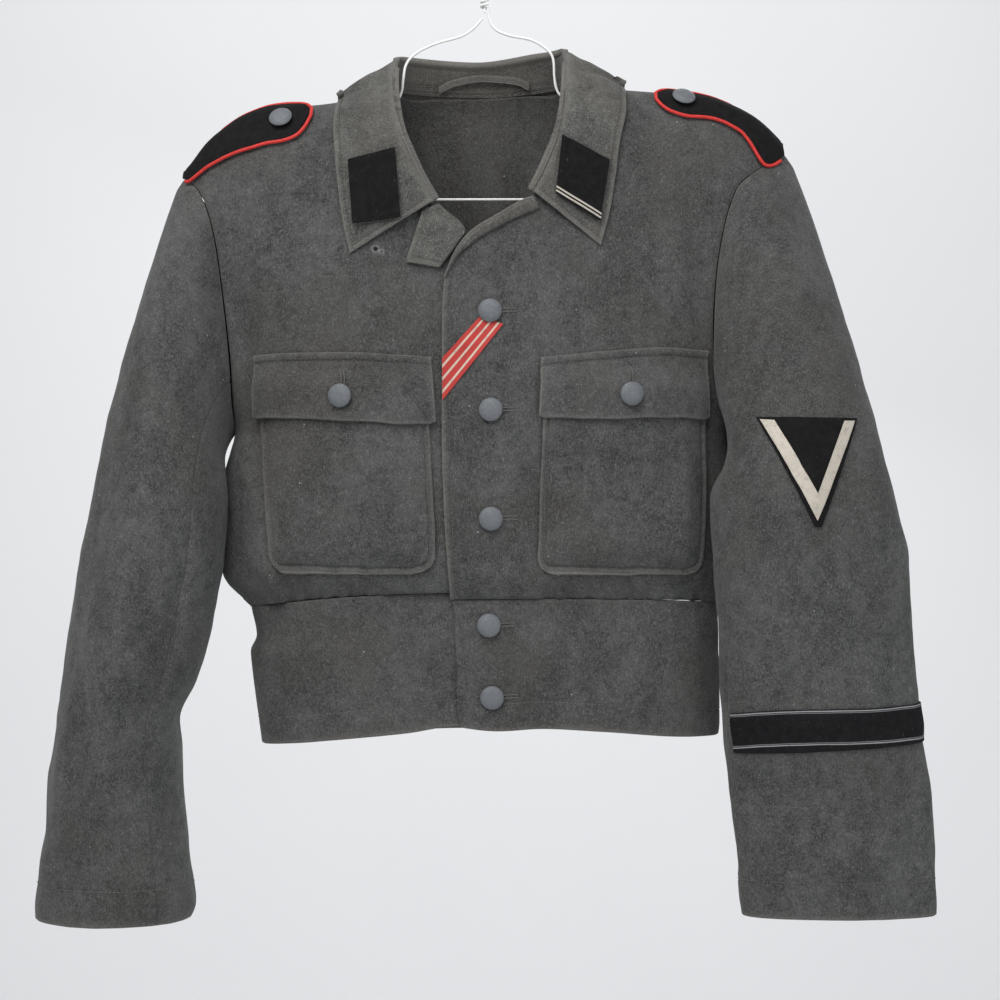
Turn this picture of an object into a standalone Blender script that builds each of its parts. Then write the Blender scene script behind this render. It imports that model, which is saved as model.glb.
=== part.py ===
"""Short wool combat tunic hung on a bent-wire hanger. Sizes are in millimetres until a mesh is made.

The frame: +Z is up, the front of the tunic faces -Y, and the origin is the inner top of the hanger's
hook. The tunic's own right is at -X.
"""

import math

import bmesh
import bpy
import numpy as np

MM = 0.001

# Driving sizes: cloth thicknesses, gaps between pieces, and the trim.
WOOL = 2.2
COLLAR_CLOTH = 2.6
SHOULDER_ARCH = 5.5
POCKET_CLOTH = 1.9
FLAP_CLOTH = 2.3
TRIM_CLOTH = 1.2
STRAP_CLOTH = 2.4
SEAM_GAP = 0.5
LAY_GAP = 0.5
FLAP_LIFT = 0.8
SLEEVE_GAP = 1.3
LAP_LIFT = 3.4
LAP_EDGE = 24.0
LAP_EASE = 26.0
PIPING_WIDTH = 2.8
WIRE_WIDTH = 2.2
HOOK_RADIUS = 17.0

# How the torso's section rounds to its sides, and how far below the shoulder ridge it fills out.
SIDE_ROUND = 2.2
REACH = {"front": 70.0, "back": 60.0}

WOOL_GREEN = (0.125, 0.135, 0.115)
WOOL_DARK = (0.105, 0.114, 0.098)
COLLAR_GREEN = (0.150, 0.150, 0.118)
BLACK_CLOTH = (0.012, 0.012, 0.013)
PALE_BRAID = (0.42, 0.41, 0.36)
RED_CLOTH = (0.33, 0.022, 0.020)
BUTTON_GREY = (0.20, 0.225, 0.235)
HANGER_WHITE = (0.80, 0.80, 0.79)


class Table:
    """Sizes under named columns, a row for each section, read smoothly between the rows."""

    def __init__(self, columns, *rows):
        self.names = columns.split()
        self.rows = np.array(sorted(rows), float)

    def column(self, name):
        return self.rows[:, self.names.index(name)]

    def at(self, place, name):
        keys, values = self.rows[:, 0], self.column(name)
        place = np.clip(np.asarray(place, float), keys[0], keys[-1])
        steps = np.diff(keys)
        slopes = np.diff(values) / steps
        both = slopes[:-1] * slopes[1:]
        total = slopes[:-1] + slopes[1:]
        inner = np.where(both > 0, 2 * both / np.where(both > 0, total, 1), 0)
        leans = np.concatenate([slopes[:1], inner, slopes[-1:]])
        row = np.clip(np.searchsorted(keys, place) - 1, 0, len(keys) - 2)
        t = (place - keys[row]) / steps[row]
        return (
            values[row] * (1 + 2 * t) * (1 - t) ** 2
            + values[row + 1] * t**2 * (3 - 2 * t)
            + leans[row] * steps[row] * t * (1 - t) ** 2
            - leans[row + 1] * steps[row] * t**2 * (1 - t)
        )


# The blouse below the shoulders: where its sides are at each height, and its front and back depth.
BODY = Table(
    "z left right front back",
    (-556, -194, 193, 57, 44),
    (-548, -204, 197, 60, 46),
    (-539, -213, 203, 64, 48),
    (-527, -218.5, 208, 67, 49),
    (-501, -219.5, 210, 68, 50),
    (-470, -218.5, 208, 68, 50),
    (-430, -212.5, 204, 68, 50),
    (-413, -207, 205, 68, 50),
    (-390, -214, 211, 67, 49),
    (-338, -229, 224, 64, 48),
    (-275, -250, 243, 59, 46),
    (-221, -260, 256, 54, 45),
    (-178, -263, 260, 51, 45),
    (-128, -263, 260, 50, 46),
)

# The shoulder seam's height across the tunic. Within 70 of the middle it is only the height that
# the neck's fullness is measured from.
RIDGE = Table(
    "x z",
    (-256, -215), (-250, -204), (-241, -194), (-227, -176), (-213, -164), (-198, -154),
    (-172, -145), (-135, -142), (-104, -137), (-77, -129), (-61, -110), (0, -86),
    (54, -103), (70, -125), (103, -129), (129, -131), (155, -133), (180, -137),
    (202, -145), (223, -156), (236, -167), (250, -184), (256, -196),
)  # fmt: skip

# The fitted waistband's sides and depths.
BAND = Table(
    "z left right front back",
    (-675, -184, 192, 54, 44),
    (-653, -187, 195, 55, 44),
    (-607, -193, 195, 56, 44),
    (-595, -194, 194, 57, 44),
    (-582, -189, 194, 57, 44),
    (-557, -194, 193, 57, 44),
)
WAIST = {
    "right": Table("x z", (-194, -558), (-140, -551), (-107, -548), (-70, -546), (-29, -545), (24, -546)),
    "left": Table("x z", (-34, -550), (57, -549.5), (148, -551), (193, -555)),
    "back": Table("x z", (-194, -558), (0, -552), (193, -555)),
}
HEM = {
    "right": Table("x z", (-184, -671), (-152, -668), (-108, -663), (-63, -658), (-21, -652), (24, -652)),
    "left": Table("x z", (-23, -652), (10, -655.5), (44, -654), (96, -657), (164, -663), (192, -664)),
    "back": Table("x z", (-184, -671), (0, -664), (192, -664)),
}

# Armhole edges, from the shoulder point down to the underarm, seen from the front.
UNDERARM_Z = -413
ARMHOLE = {
    ("left", "front"): Table(
        "z x", (-184, 250), (-188, 243), (-196, 229), (-217, 205), (-256, 193), (-289, 188),
        (-324, 186), (-358, 185.5), (-389, 191), (UNDERARM_Z, 205),
    ),
    ("left", "back"): Table(
        "z x", (-184, 250), (-195, 238), (-222, 222), (-275, 211), (-338, 205), (-388, 203),
        (UNDERARM_Z, 205),
    ),
    ("right", "front"): Table(
        "z x", (-204, -250), (-208, -243), (-217, -234), (-240, -224), (-267, -218), (-308, -212.5),
        (-338, -209.5), (-379, -207), (UNDERARM_Z, -207),
    ),
    ("right", "back"): Table(
        "z x", (-204, -250), (-213, -240), (-238, -226), (-287, -214), (-343, -208), (-388, -206),
        (UNDERARM_Z, -207),
    ),
}  # fmt: skip

# Front edge, open neck and neckline of each front, from the waist seam up to the neck point.
FRONT_EDGE = {
    "right": Table(
        "z x", (-546, 20), (-300, 20), (-288, 18), (-272, 5), (-256, -14), (-242, -29), (-229, -43),
        (-208, -56), (-188, -65), (-170, -70), (-150, -75), (-129, -77),
    ),
    "left": Table(
        "z x", (-550, -27), (-470, -32), (-410, -33.5), (-310, -33.5), (-292, -31.5), (-273, -24),
        (-257, -11), (-245, 7), (-236, 22), (-228, 36), (-220, 43), (-204, 51), (-186, 59),
        (-164, 66), (-142, 69), (-125, 70),
    ),
}  # fmt: skip

# Each row of a front's cloth runs from a height at the front edge to a height at the side.
FRONT_ROWS = {
    "right": Table(
        "edge side", (-546, -558), (-540, -546), (-531, -534), (-516, -517), (-490, -490),
        (-455, -456), (-410, UNDERARM_Z), (-365, -370), (-325, -330), (-297, -300), (-280, -280),
        (-264, -264), (-249, -252), (-236, -242), (-221, -232), (-200, -221), (-177, -214),
        (-153, -209), (-137, -205.5), (-129, -204),
    ),
    "left": Table(
        "edge side", (-550, -555), (-542, -545), (-531, -533), (-516, -517), (-490, -490),
        (-455, -456), (-410, UNDERARM_Z), (-365, -370), (-325, -325), (-294, -290), (-275, -265),
        (-259, -248), (-246, -233), (-236, -223), (-223, -211), (-200, -202), (-177, -195),
        (-152, -189.5), (-134, -185.5), (-125, -184),
    ),
}  # fmt: skip
BACK_ROWS = Table(
    "left right",
    (-558, -555), (-546, -545), (-534, -533), (-517, -517), (-480, -480), (UNDERARM_Z, UNDERARM_Z),
    (-370, -366), (-325, -318), (-288, -278), (-257, -243), (-234, -218), (-220, -203),
    (-211, -192.5), (-206, -186.5), (-204, -184),
)  # fmt: skip

# Gathers above the waist seam: where each trough meets the seam, how far it leans sideways and
# rises, and its half width and depth. The cloth puffs up between them.
GATHERS = Table(
    "foot lean rise width depth",
    (-158, -14, 36, 6, 4.5), (-143, -6, 26, 5, 5.0), (-133, 2, 20, 4, 4.0), (-121, 3, 30, 5, 5.0),
    (-108, -2, 24, 5, 4.5), (-97, 6, 34, 5, 4.5), (-86, 4, 22, 4, 3.5), (52, 3, 24, 5, 4.0),
    (70, -5, 20, 5, 3.5), (84, 3, 26, 5, 3.5), (117, -4, 30, 6, 4.5), (131, 5, 22, 5, 4.0),
    (161, -8, 34, 6, 5.0), (174, -5, 28, 5, 4.0),
)  # fmt: skip
BACK_GATHERS = Table(
    "foot lean rise width depth",
    (-154, -9, 34, 8, 4.5), (-124, 5, 26, 8, 4.0), (-94, -4, 38, 8, 4.5), (-62, 6, 28, 9, 4.0),
    (-30, -5, 36, 9, 3.5), (4, 4, 26, 9, 3.0), (36, -6, 34, 9, 3.5), (68, 5, 28, 9, 4.0),
    (98, -4, 38, 8, 4.5), (126, 6, 26, 8, 4.0), (152, 8, 34, 8, 4.5),
)  # fmt: skip

# Long soft folds: their two ends, half width, and height, with troughs below zero.
FRONT_FOLDS = Table(
    "x1 z1 x2 z2 width height",
    (-190, -500, -150, -580, 9, 4.0), (-178, -470, -172, -575, 8, 3.0),
    (-150, -215, -195, -400, 16, 3.5), (-205, -260, -175, -470, 12, -3.0),
    (-60, -300, -48, -480, 14, 2.5), (58, -300, 20, -440, 14, 2.0),
    (155, -400, 157, -585, 7, 2.5), (172, -200, 178, -420, 12, -3.0),
    (140, -190, 176, -370, 14, 2.5), (90, -475, 150, -585, 12, 2.5),
)  # fmt: skip
BACK_FOLDS = Table(
    "x1 z1 x2 z2 width height",
    (-150, -210, -175, -430, 15, 3.5), (-60, -170, -95, -420, 18, 3.0), (20, -180, 35, -440, 20, -3.0),
    (110, -190, 95, -430, 16, 3.0), (160, -215, 178, -430, 14, 3.0), (-120, -380, -165, -560, 12, 3.0),
    (120, -390, 168, -560, 12, 3.0), (-20, -400, 8, -560, 15, 2.5),
)  # fmt: skip

# Sleeves below the underarm: outer and inner edge seen from the front, the middle's y, and half
# the depth from front to back.
SLEEVE_RINGS = {
    "left": Table(
        "z outer inner middle deep",
        (-810, 364, 209, -45, 23), (-788, 365, 206, -45, 24), (-760, 364, 204, -46, 26),
        (-712, 361, 199, -48, 31), (-674, 355, 195, -50, 35), (-632, 349, 190, -52, 39),
        (-583, 344, 189, -53, 42), (-518, 340, 183, -55, 45), (-470, 329, 182, -57, 47),
        (-440, 322, 181, -54, 48),
    ),
    "right": Table(
        "z outer inner middle deep",
        (-812, -363, -240, -34, 45), (-799, -364, -235, -34, 46), (-767, -361, -238, -35, 48),
        (-734, -355, -242, -35, 50), (-706, -354, -245, -36, 51), (-649, -346, -247, -37, 53),
        (-616, -341, -234, -38, 55), (-584, -337, -224, -38, 56), (-551, -332, -217, -38, 57),
        (-519, -327, -211, -38, 57), (-470, -317, -209, -38, 56), (-440, -312, -208, -36, 54),
    ),
}  # fmt: skip

# The way that the sleeve leaves the armhole, at each turn round it: 0 is the outer top, 90 the
# front, 180 the underarm and 270 the back. x is outwards.
SLEEVE_START = {
    "left": Table(
        "turn x y z",
        (0, 0.34, 0.00, -0.94), (45, 0.52, -0.56, -0.64), (90, 0.50, -0.76, -0.42),
        (125, 0.20, -0.90, -0.36), (155, 0.15, -0.85, -0.45), (180, 0.70, -0.40, -0.55),
        (225, 0.90, 0.10, -0.45), (270, 0.78, 0.32, -0.53), (315, 0.58, 0.42, -0.70),
        (360, 0.32, 0.00, -0.945),
    ),
    "right": Table(
        "turn x y z",
        (0, 0.30, 0.00, -0.95), (45, 0.50, -0.56, -0.66), (90, 0.54, -0.72, -0.44),
        (125, 0.45, -0.78, -0.40), (155, 0.35, -0.75, -0.55), (180, 0.60, -0.35, -0.65),
        (225, 0.90, 0.10, -0.45), (270, 0.78, 0.32, -0.53), (315, 0.58, 0.42, -0.70),
        (360, 0.32, 0.00, -0.945),
    ),
}
HEAD_SHARE = 0.44
HEAD_ROWS = (0, 0.025, 0.07, 0.13, 0.2, 0.28, 0.36, 0.44)
LOWER_ROWS = (0.5, 0.56, 0.62, 0.68, 0.74, 0.8, 0.87, 0.94, 1.0)
FREE_Z = -455.0
FREE_TILT = 15.0
CUFF_Z = {"left": -805.0, "right": -809.0}

# Where the two-piece sleeves are seamed, in degrees of turn: front seam and back seam.
SLEEVE_SEAMS = {"left": (162, -28), "right": (128, -30)}

# Sleeve folds: turn and height of both ends, half width in degrees, and height.
SLEEVE_FOLDS = {
    "left": Table(
        "turn1 z1 turn2 z2 width height",
        (150, -330, 105, -500, 14, 3.0), (120, -500, 70, -660, 14, -3.0), (30, -540, 55, -740, 12, -2.5),
        (215, -470, 260, -660, 16, 3.5), (300, -430, 285, -700, 16, 3.5), (330, -340, 320, -560, 14, -3.0),
    ),
    "right": Table(
        "turn1 z1 turn2 z2 width height",
        (70, -270, 92, -800, 13, 4.0), (124, -490, 126, -690, 10, -4.0), (30, -330, 50, -620, 13, -3.0),
        (60, -520, 40, -760, 12, 3.0), (225, -480, 265, -700, 16, 3.5), (305, -430, 285, -700, 16, 3.5),
        (335, -340, 320, -600, 14, -3.0),
    ),
}  # fmt: skip

# The collar, from its right front end round the back of the neck to its left front end: the neck
# seam, the fold and the leaf's outer edge. hold says how far each lies to the front (-1) or the
# back (1), and lift is the leaf edge's height off the cloth below it.
COLLAR = Table(
    "place neck_x neck_z neck_hold fold_x fold_y fold_z edge_x edge_z edge_hold lift",
    (0.00, -40, -228, -1, -37, -61, -229, -108, -272, -1, 4.5),
    (0.07, -52, -209, -1, -50, -59.5, -206, -114, -246, -1, 5.0),
    (0.15, -61, -188, -1, -59, -57.5, -186, -118, -218, -1, 5.5),
    (0.22, -66, -169, -1, -66, -54.5, -169, -121, -189, -1, 6.5),
    (0.29, -71, -149, -1, -70, -45, -148, -123, -160, -1, 8.0),
    (0.36, -73, -129, -1, -73, -19, -119, -122, -131, -1, 8.0),
    (0.42, -68, -127, 1, -72, 9, -100, -110, -140, 1, 9.0),
    (0.46, -44, -127, 1, -50, 32, -98, -70, -155, 1, 7.0),
    (0.50, 0, -127, 1, -6, 43, -98.5, 0, -166, 1, 6.0),
    (0.54, 42, -125, 1, 46, 32, -93, 66, -150, 1, 7.0),
    (0.58, 61, -124, 1, 65, 9, -93, 104, -131, 1, 9.0),
    (0.64, 67, -126, -1, 66, -18, -110, 117, -121, -1, 8.0),
    (0.71, 66, -143, -1, 64, -42, -137, 116, -150, -1, 8.0),
    (0.78, 62, -164, -1, 60, -53.5, -164, 110, -181, -1, 6.5),
    (0.85, 55, -186, -1, 53, -57.5, -185, 106, -210, -1, 5.5),
    (0.93, 46, -205, -1, 45, -59.5, -204, 101, -240, -1, 5.0),
    (1.00, 37, -221, -1, 36, -61, -221, 94, -266, -1, 4.5),
)
COLLAR_ROLL = Table(
    "share down out",
    (0.0, 0.0, 0.0), (0.24, 0.5, -0.6), (0.42, 0.88, -1.6), (0.5, 1.0, 0.6), (0.58, 1.1, 3.2),
    (0.7, 1.35, 3.0), (0.85, 1.7, 1.5), (1.0, 2.0, 0.0),
)  # fmt: skip

STRAP_LIFT = 1.7
SHOULDER_STRAPS = {
    "right": Table(
        "x front_drop back_drop",
        (-247, 6, 5), (-241, 13, 4), (-226, 22, 1), (-209, 28, -1), (-188, 33, -2), (-166, 34, -2),
        (-154, 31, -3), (-147, 24, -5), (-143, 15, -9),
    ),
    "left": Table(
        "x front_drop back_drop",
        (142, 12, -7), (146, 17, -4), (153, 21, -2), (165, 23, -2), (178, 21, -2), (195, 19, -1),
        (209, 20, 0), (218, 26, 1), (228, 35, 1), (237, 25, 3), (245, 10, 4),
    ),
}  # fmt: skip

# Places seen from the front, as x and z.
BUTTONS = {
    "button_front_1": (4.8, -319.2),
    "button_front_2": (5.6, -398.4),
    "button_front_3": (5.6, -484.8),
    "button_front_4": (4.0, -570.4),
    "button_front_5": (6.4, -628.0),
    "button_flap_right": (-112.0, -387.2),
    "button_flap_left": (115.2, -385.6),
}
STRAP_BUTTONS = {"button_strap_right": (-165.0, 18.0), "button_strap_left": (162.0, 11.0)}
BUTTON_PROFILE = ((0.0, 4.4), (5.0, 4.0), (8.6, 2.5), (9.5, 1.1), (3.2, 0.2), (3.0, -1.4), (0.0, -1.4))
BUTTON_SIDES = 12

POCKETS = {
    "right": Table(
        "z left right",
        (-529, -158, -58), (-526.5, -166, -48), (-522, -171, -41), (-515, -173.5, -38), (-500, -174.5, -38),
        (-465, -177, -40), (-430, -179, -42), (-404, -180.5, -44), (-384, -181, -46),
    ),
    "left": Table(
        "z left right",
        (-529.5, 61, 162), (-527.5, 50, 170), (-523, 44, 175), (-515, 42, 177), (-500, 43, 178),
        (-460, 44, 179.5), (-430, 45.5, 179), (-404, 46, 178.5), (-384, 46, 178.5),
    ),
}  # fmt: skip
FLAPS = {
    "right": Table(
        "x top bottom", (-185.5, -353, -403), (-160, -351.5, -404), (-112, -351.5, -407),
        (-70, -354, -409.5), (-42, -356, -410),
    ),
    "left": Table(
        "x top bottom", (45, -356, -404.5), (84, -352, -406), (112, -349.5, -405.5),
        (146, -347, -404), (181, -349, -405),
    ),
}  # fmt: skip
FLAP_SLANT = {"right": (0.0, 3.5), "left": (-3.5, -1.0)}
POCKET_LIFT = 1.2
POCKET_PUFF = 3.0


def material(name, colour, roughness, metallic=0.0):
    made = bpy.data.materials.new(name)
    made.use_nodes = True
    shader = made.node_tree.nodes["Principled BSDF"]
    shader.inputs["Base Color"].default_value = (*colour, 1.0)
    shader.inputs["Roughness"].default_value = roughness
    shader.inputs["Metallic"].default_value = metallic
    return made


def clear_scene():
    for obj in list(bpy.data.objects):
        bpy.data.objects.remove(obj, do_unlink=True)
    tunic = bpy.data.collections.new("combat_tunic")
    bpy.context.scene.collection.children.link(tunic)
    return tunic


def unit(vectors):
    return vectors / np.linalg.norm(vectors, axis=-1, keepdims=True)


def points(x, y, z):
    return np.stack(np.broadcast_arrays(x, y, z), axis=-1).astype(float)


def rising(low, high, place):
    """0 below low, 1 above high, and a smooth rise between them."""
    t = np.clip((place - low) / (high - low), 0, 1)
    return t * t * (3 - 2 * t)


def grid_normals(grid, towards):
    """Each point's normal, from its neighbours, turned to the side that towards points to."""
    normals = unit(np.cross(np.gradient(grid, axis=0), np.gradient(grid, axis=1)))
    middle = normals[len(grid) // 2, grid.shape[1] // 2]
    return normals if middle @ np.array(towards, float) > 0 else -normals


def surface_normals(surface, u, v, towards):
    """The normals of surface(u, v), from close points on each side."""
    near = 0.002
    du = surface(u + near, v) - surface(u - near, v)
    dv = surface(u, v + near) - surface(u, v - near)
    normals = unit(np.cross(du, dv))
    return np.where(np.sum(normals * towards, axis=-1, keepdims=True) > 0, normals, -normals)


def add_wall(collection, name, outer, inner, finish):
    """One closed wall of cloth between an outer and an inner grid of points."""
    rows, columns = outer.shape[:2]
    mesh = bmesh.new()
    faces = [
        [[mesh.verts.new(point * MM) for point in row] for row in layer] for layer in (outer, inner)
    ]
    for layer in faces:
        for r in range(rows - 1):
            for c in range(columns - 1):
                mesh.faces.new((layer[r][c], layer[r][c + 1], layer[r + 1][c + 1], layer[r + 1][c]))
    rim = [(0, c) for c in range(columns - 1)]
    rim += [(r, columns - 1) for r in range(rows - 1)]
    rim += [(rows - 1, c) for c in range(columns - 1, 0, -1)]
    rim += [(r, 0) for r in range(rows - 1, 0, -1)]
    for (r1, c1), (r2, c2) in zip(rim, rim[1:] + rim[:1]):
        mesh.faces.new((faces[0][r1][c1], faces[0][r2][c2], faces[1][r2][c2], faces[1][r1][c1]))
    bmesh.ops.recalc_face_normals(mesh, faces=mesh.faces)
    if mesh.calc_volume(signed=True) < 0:
        bmesh.ops.reverse_faces(mesh, faces=mesh.faces)
    data = bpy.data.meshes.new(name)
    mesh.to_mesh(data)
    mesh.free()
    data.shade_smooth()
    data.materials.append(finish)
    obj = bpy.data.objects.new(name, data)
    collection.objects.link(obj)
    return obj


def add_tube(collection, name, path, width, finish):
    """A round cord or wire through the path's points."""
    curve = bpy.data.curves.new(name, "CURVE")
    curve.dimensions = "3D"
    spline = curve.splines.new("POLY")
    spline.points.add(len(path) - 1)
    for point, place in zip(spline.points, path):
        point.co = (*(np.asarray(place) * MM), 1.0)
    curve.bevel_depth = width / 2 * MM
    curve.bevel_resolution = 2
    curve.use_fill_caps = True
    curve.materials.append(finish)
    obj = bpy.data.objects.new(name, curve)
    collection.objects.link(obj)
    return obj


# ---- The torso's surface, which the fronts, the back and all that lies on them share


def torso_depth(x, z, face):
    """How far the torso's cloth stands from the plane of its side and shoulder seams."""
    left, right = BODY.at(z, "left"), BODY.at(z, "right")
    across = np.clip(abs(2 * x - left - right) / (right - left), 0, 1)
    sides = (1 - across**SIDE_ROUND) ** (1 / SIDE_ROUND)
    drop = np.clip((RIDGE.at(x, "z") - z) / REACH[face], 0, 1)
    return BODY.at(z, face) * sides * np.sqrt(1 - (1 - drop) ** 2)


def fold_height(folds, x, z):
    """The height that the long folds and troughs add at a place."""
    total = 0.0
    for x1, z1, x2, z2, width, height in folds.rows:
        run = math.hypot(x2 - x1, z2 - z1)
        along = ((x - x1) * (x2 - x1) + (z - z1) * (z2 - z1)) / run**2
        off = ((x - x1) * (z2 - z1) - (z - z1) * (x2 - x1)) / run
        total = total + height * np.exp(-((off / width) ** 2)) * np.sin(np.pi * np.clip(along, 0, 1)) ** 0.7
    return total


def gather_height(gathers, x, above):
    """The troughs that the waist seam gathers in, fading out up the cloth."""
    total = 0.0
    for foot, lean, rise, width, depth in gathers.rows:
        fade = 1 - rising(0.0, rise, above)
        total = total - depth * fade * np.exp(-(((x - foot - lean * above / rise) / width) ** 2))
    return total


def front_y(x, z, lap=0.0):
    depth = torso_depth(x, z, "front")
    ripple = fold_height(FRONT_FOLDS, x, z) + gather_height(GATHERS, x, z - WAIST["left"].at(x, "z"))
    eased = ripple * rising(2.0, 22.0, depth)
    return -(SEAM_GAP / 2 + depth + eased + lap)


def back_y(x, z):
    depth = torso_depth(x, z, "back")
    ripple = fold_height(BACK_FOLDS, x, z) + gather_height(BACK_GATHERS, x, z - WAIST["back"].at(x, "z"))
    return SEAM_GAP / 2 + depth + ripple * rising(2.0, 22.0, depth)


def lap_lift(x):
    """The over front's height on the under front, gone where the under front ends."""
    return LAP_LIFT * (1 - rising(LAP_EDGE, LAP_EDGE + LAP_EASE, x))


def left_front(x, z):
    return points(x, front_y(x, z, lap_lift(x)), z)


def right_front(x, z):
    return points(x, front_y(x, z), z)


def band_depth(x, z, face):
    left, right = BAND.at(z, "left"), BAND.at(z, "right")
    across = np.clip(abs(2 * x - left - right) / (right - left), 0, 1)
    return BAND.at(z, face) * (1 - across**SIDE_ROUND) ** (1 / SIDE_ROUND)


def band_front(x, z, lap=0.0):
    return points(x, -(SEAM_GAP / 2 + band_depth(x, z, "front") + lap), z)


def band_left(x, z):
    return band_front(x, z, lap_lift(x))


def band_back(x, z):
    return points(x, SEAM_GAP / 2 + band_depth(x, z, "back"), z)


def shares_with(gathers, low, high, base, nearest):
    """Column places from low to high: the base shares, and three for each gather."""
    places = [low + (high - low) * share for share in base]
    for foot, width in zip(gathers.column("foot"), gathers.column("width")):
        places += [foot - width, foot, foot + width]
    kept = []
    for place in sorted(p for p in places if min(low, high) <= p <= max(low, high)):
        if not kept or place - kept[-1] > nearest:
            kept.append(place)
    kept[0], kept[-1] = min(low, high), max(low, high)
    shares = sorted((place - low) / (high - low) for place in kept)
    return np.array(shares)


def cloth_rows(start, end, bottom, top, shares):
    """Places in x and z on rows of cloth. Each row runs between its two ends, and bows as the
    bottom and top seams do."""
    start, end = np.asarray(start, float), np.asarray(end, float)
    line = start[:, None] + (end - start)[:, None] * shares[None, :, None]
    height = (start[:, 1] - start[0, 1]) / (start[-1, 1] - start[0, 1])
    bow_low = bottom(line[0, :, 0]) - line[0, :, 1]
    bow_high = top(line[-1, :, 0]) - line[-1, :, 1]
    z = line[:, :, 1] + np.outer(1 - height, bow_low) + np.outer(height, bow_high)
    return line[:, :, 0], z


def level_edges(normals, rows, columns):
    """Lays the normals along a seam level with it, so that the two walls there stay parallel."""
    normals[rows, columns, 1] = 0
    return unit(normals)


# ---- Pieces of the blouse


def add_front(collection, side, finish):
    rows, edge = FRONT_ROWS[side], FRONT_EDGE[side]
    arm = ARMHOLE[side, "front"]
    side_name = "right" if side == "left" else "left"
    start = [(edge.at(z, "x"), z) for z in rows.column("edge")]
    end = [
        (arm.at(z, "x") if z > UNDERARM_Z else BODY.at(z, side_name), z) for z in rows.column("side")
    ]
    base = (0, 0.07, 0.14, 0.22, 0.3, 0.4, 0.5, 0.6, 0.7, 0.78, 0.85, 0.91, 0.955, 0.985, 1)
    shares = shares_with(GATHERS, start[0][0], end[0][0], base, 5.2)
    seam = WAIST[side]
    x, z = cloth_rows(start, end, lambda x: seam.at(x, "z"), lambda x: RIDGE.at(x, "z"), shares)
    outer = (left_front if side == "left" else right_front)(x, z)
    normals = grid_normals(outer, (0, -1, 0))
    normals = level_edges(normals, -1, slice(None))
    at_side = [i for i, height in enumerate(rows.column("side")) if height <= UNDERARM_Z]
    normals = level_edges(normals, at_side, -1)
    add_wall(collection, f"front_{side}", outer, outer - WOOL * normals, finish)


def add_back(collection, finish):
    ends = {}
    for side, side_name in (("right", "left"), ("left", "right")):
        arm = ARMHOLE[side, "back"]
        heights = BACK_ROWS.column(side_name)
        ends[side] = [
            (arm.at(z, "x") if z > UNDERARM_Z else BODY.at(z, side_name), z) for z in heights
        ]
    base = (
        0, 0.015, 0.045, 0.09, 0.14, 0.2, 0.27, 0.345, 0.4, 0.45, 0.5,
        0.55, 0.6, 0.645, 0.72, 0.79, 0.85, 0.905, 0.95, 0.985, 1,
    )  # fmt: skip
    low, high = ends["right"][0][0], ends["left"][0][0]
    shares = shares_with(BACK_GATHERS, low, high, base, 9.5)
    neck = Table(
        "x z", (-77, -129), (-64, -131), (-41, -129.5), (0, -128.5), (41, -126.5), (60, -127.5), (70, -125)
    )
    neck_ends = neck.column("x")[[0, -1]]

    def top_seam(x):
        at_neck = (x > neck_ends[0]) & (x < neck_ends[1])
        return np.where(at_neck, neck.at(x, "z"), RIDGE.at(x, "z"))

    x, z = cloth_rows(ends["right"], ends["left"], lambda x: WAIST["back"].at(x, "z"), top_seam, shares)
    outer = points(x, back_y(x, z), z)
    normals = grid_normals(outer, (0, 1, 0))
    on_ridge = np.where((x[-1] <= neck_ends[0]) | (x[-1] >= neck_ends[1]))[0]
    normals = level_edges(normals, -1, on_ridge)
    at_side = [i for i, height in enumerate(BACK_ROWS.column("left")) if height <= UNDERARM_Z]
    normals = level_edges(normals, at_side, 0)
    normals = level_edges(normals, at_side, -1)
    add_wall(collection, "back", outer, outer - WOOL * normals, finish)


def add_waistbands(collection, finish):
    pieces = {
        "waistband_right": ("right", band_front, (0, -1, 0)),
        "waistband_left": ("left", band_left, (0, -1, 0)),
        "waistband_back": ("back", band_back, (0, 1, 0)),
    }
    heights = np.array([0, 0.12, 0.35, 0.6, 0.8, 1.0])[:, None]
    turns = np.linspace(0, 1, 12)
    for name, (side, surface, towards) in pieces.items():
        waist, hem = WAIST[side], HEM[side]
        limits = {}
        for side_name, x_side in (("left", -194), ("right", 193)):
            z_top, z_bottom = waist.at(x_side, "z") - SEAM_GAP, hem.at(x_side, "z")
            limits[side_name] = BAND.at(z_top + (z_bottom - z_top) * heights, side_name)
        left, right = limits["left"], limits["right"]
        if side == "back":
            across = -np.cos(np.pi * np.linspace(0, 1, 20))
            x = (left + right) / 2 + (right - left) / 2 * across
        elif side == "right":
            across = 1 - np.cos(np.pi / 2 * turns)
            x = left + (20.0 - left) * across
        else:
            edge = np.array([-26.0, -24.0, -23.0, -22.0, -22.0, -19.0])[:, None]
            across = np.sin(np.pi / 2 * turns)
            x = edge + (right - edge) * across
        top, bottom = waist.at(x, "z") - SEAM_GAP, hem.at(x, "z")
        z = top + (bottom - top) * heights
        outer = surface(x, z)
        normals = grid_normals(outer, towards)
        ends = {"back": (0, -1), "right": (0,), "left": (-1,)}[side]
        for end in ends:
            normals = level_edges(normals, slice(None), end)
        add_wall(collection, name, outer, outer - WOOL * normals, finish)


# ---- Sleeves


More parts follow.
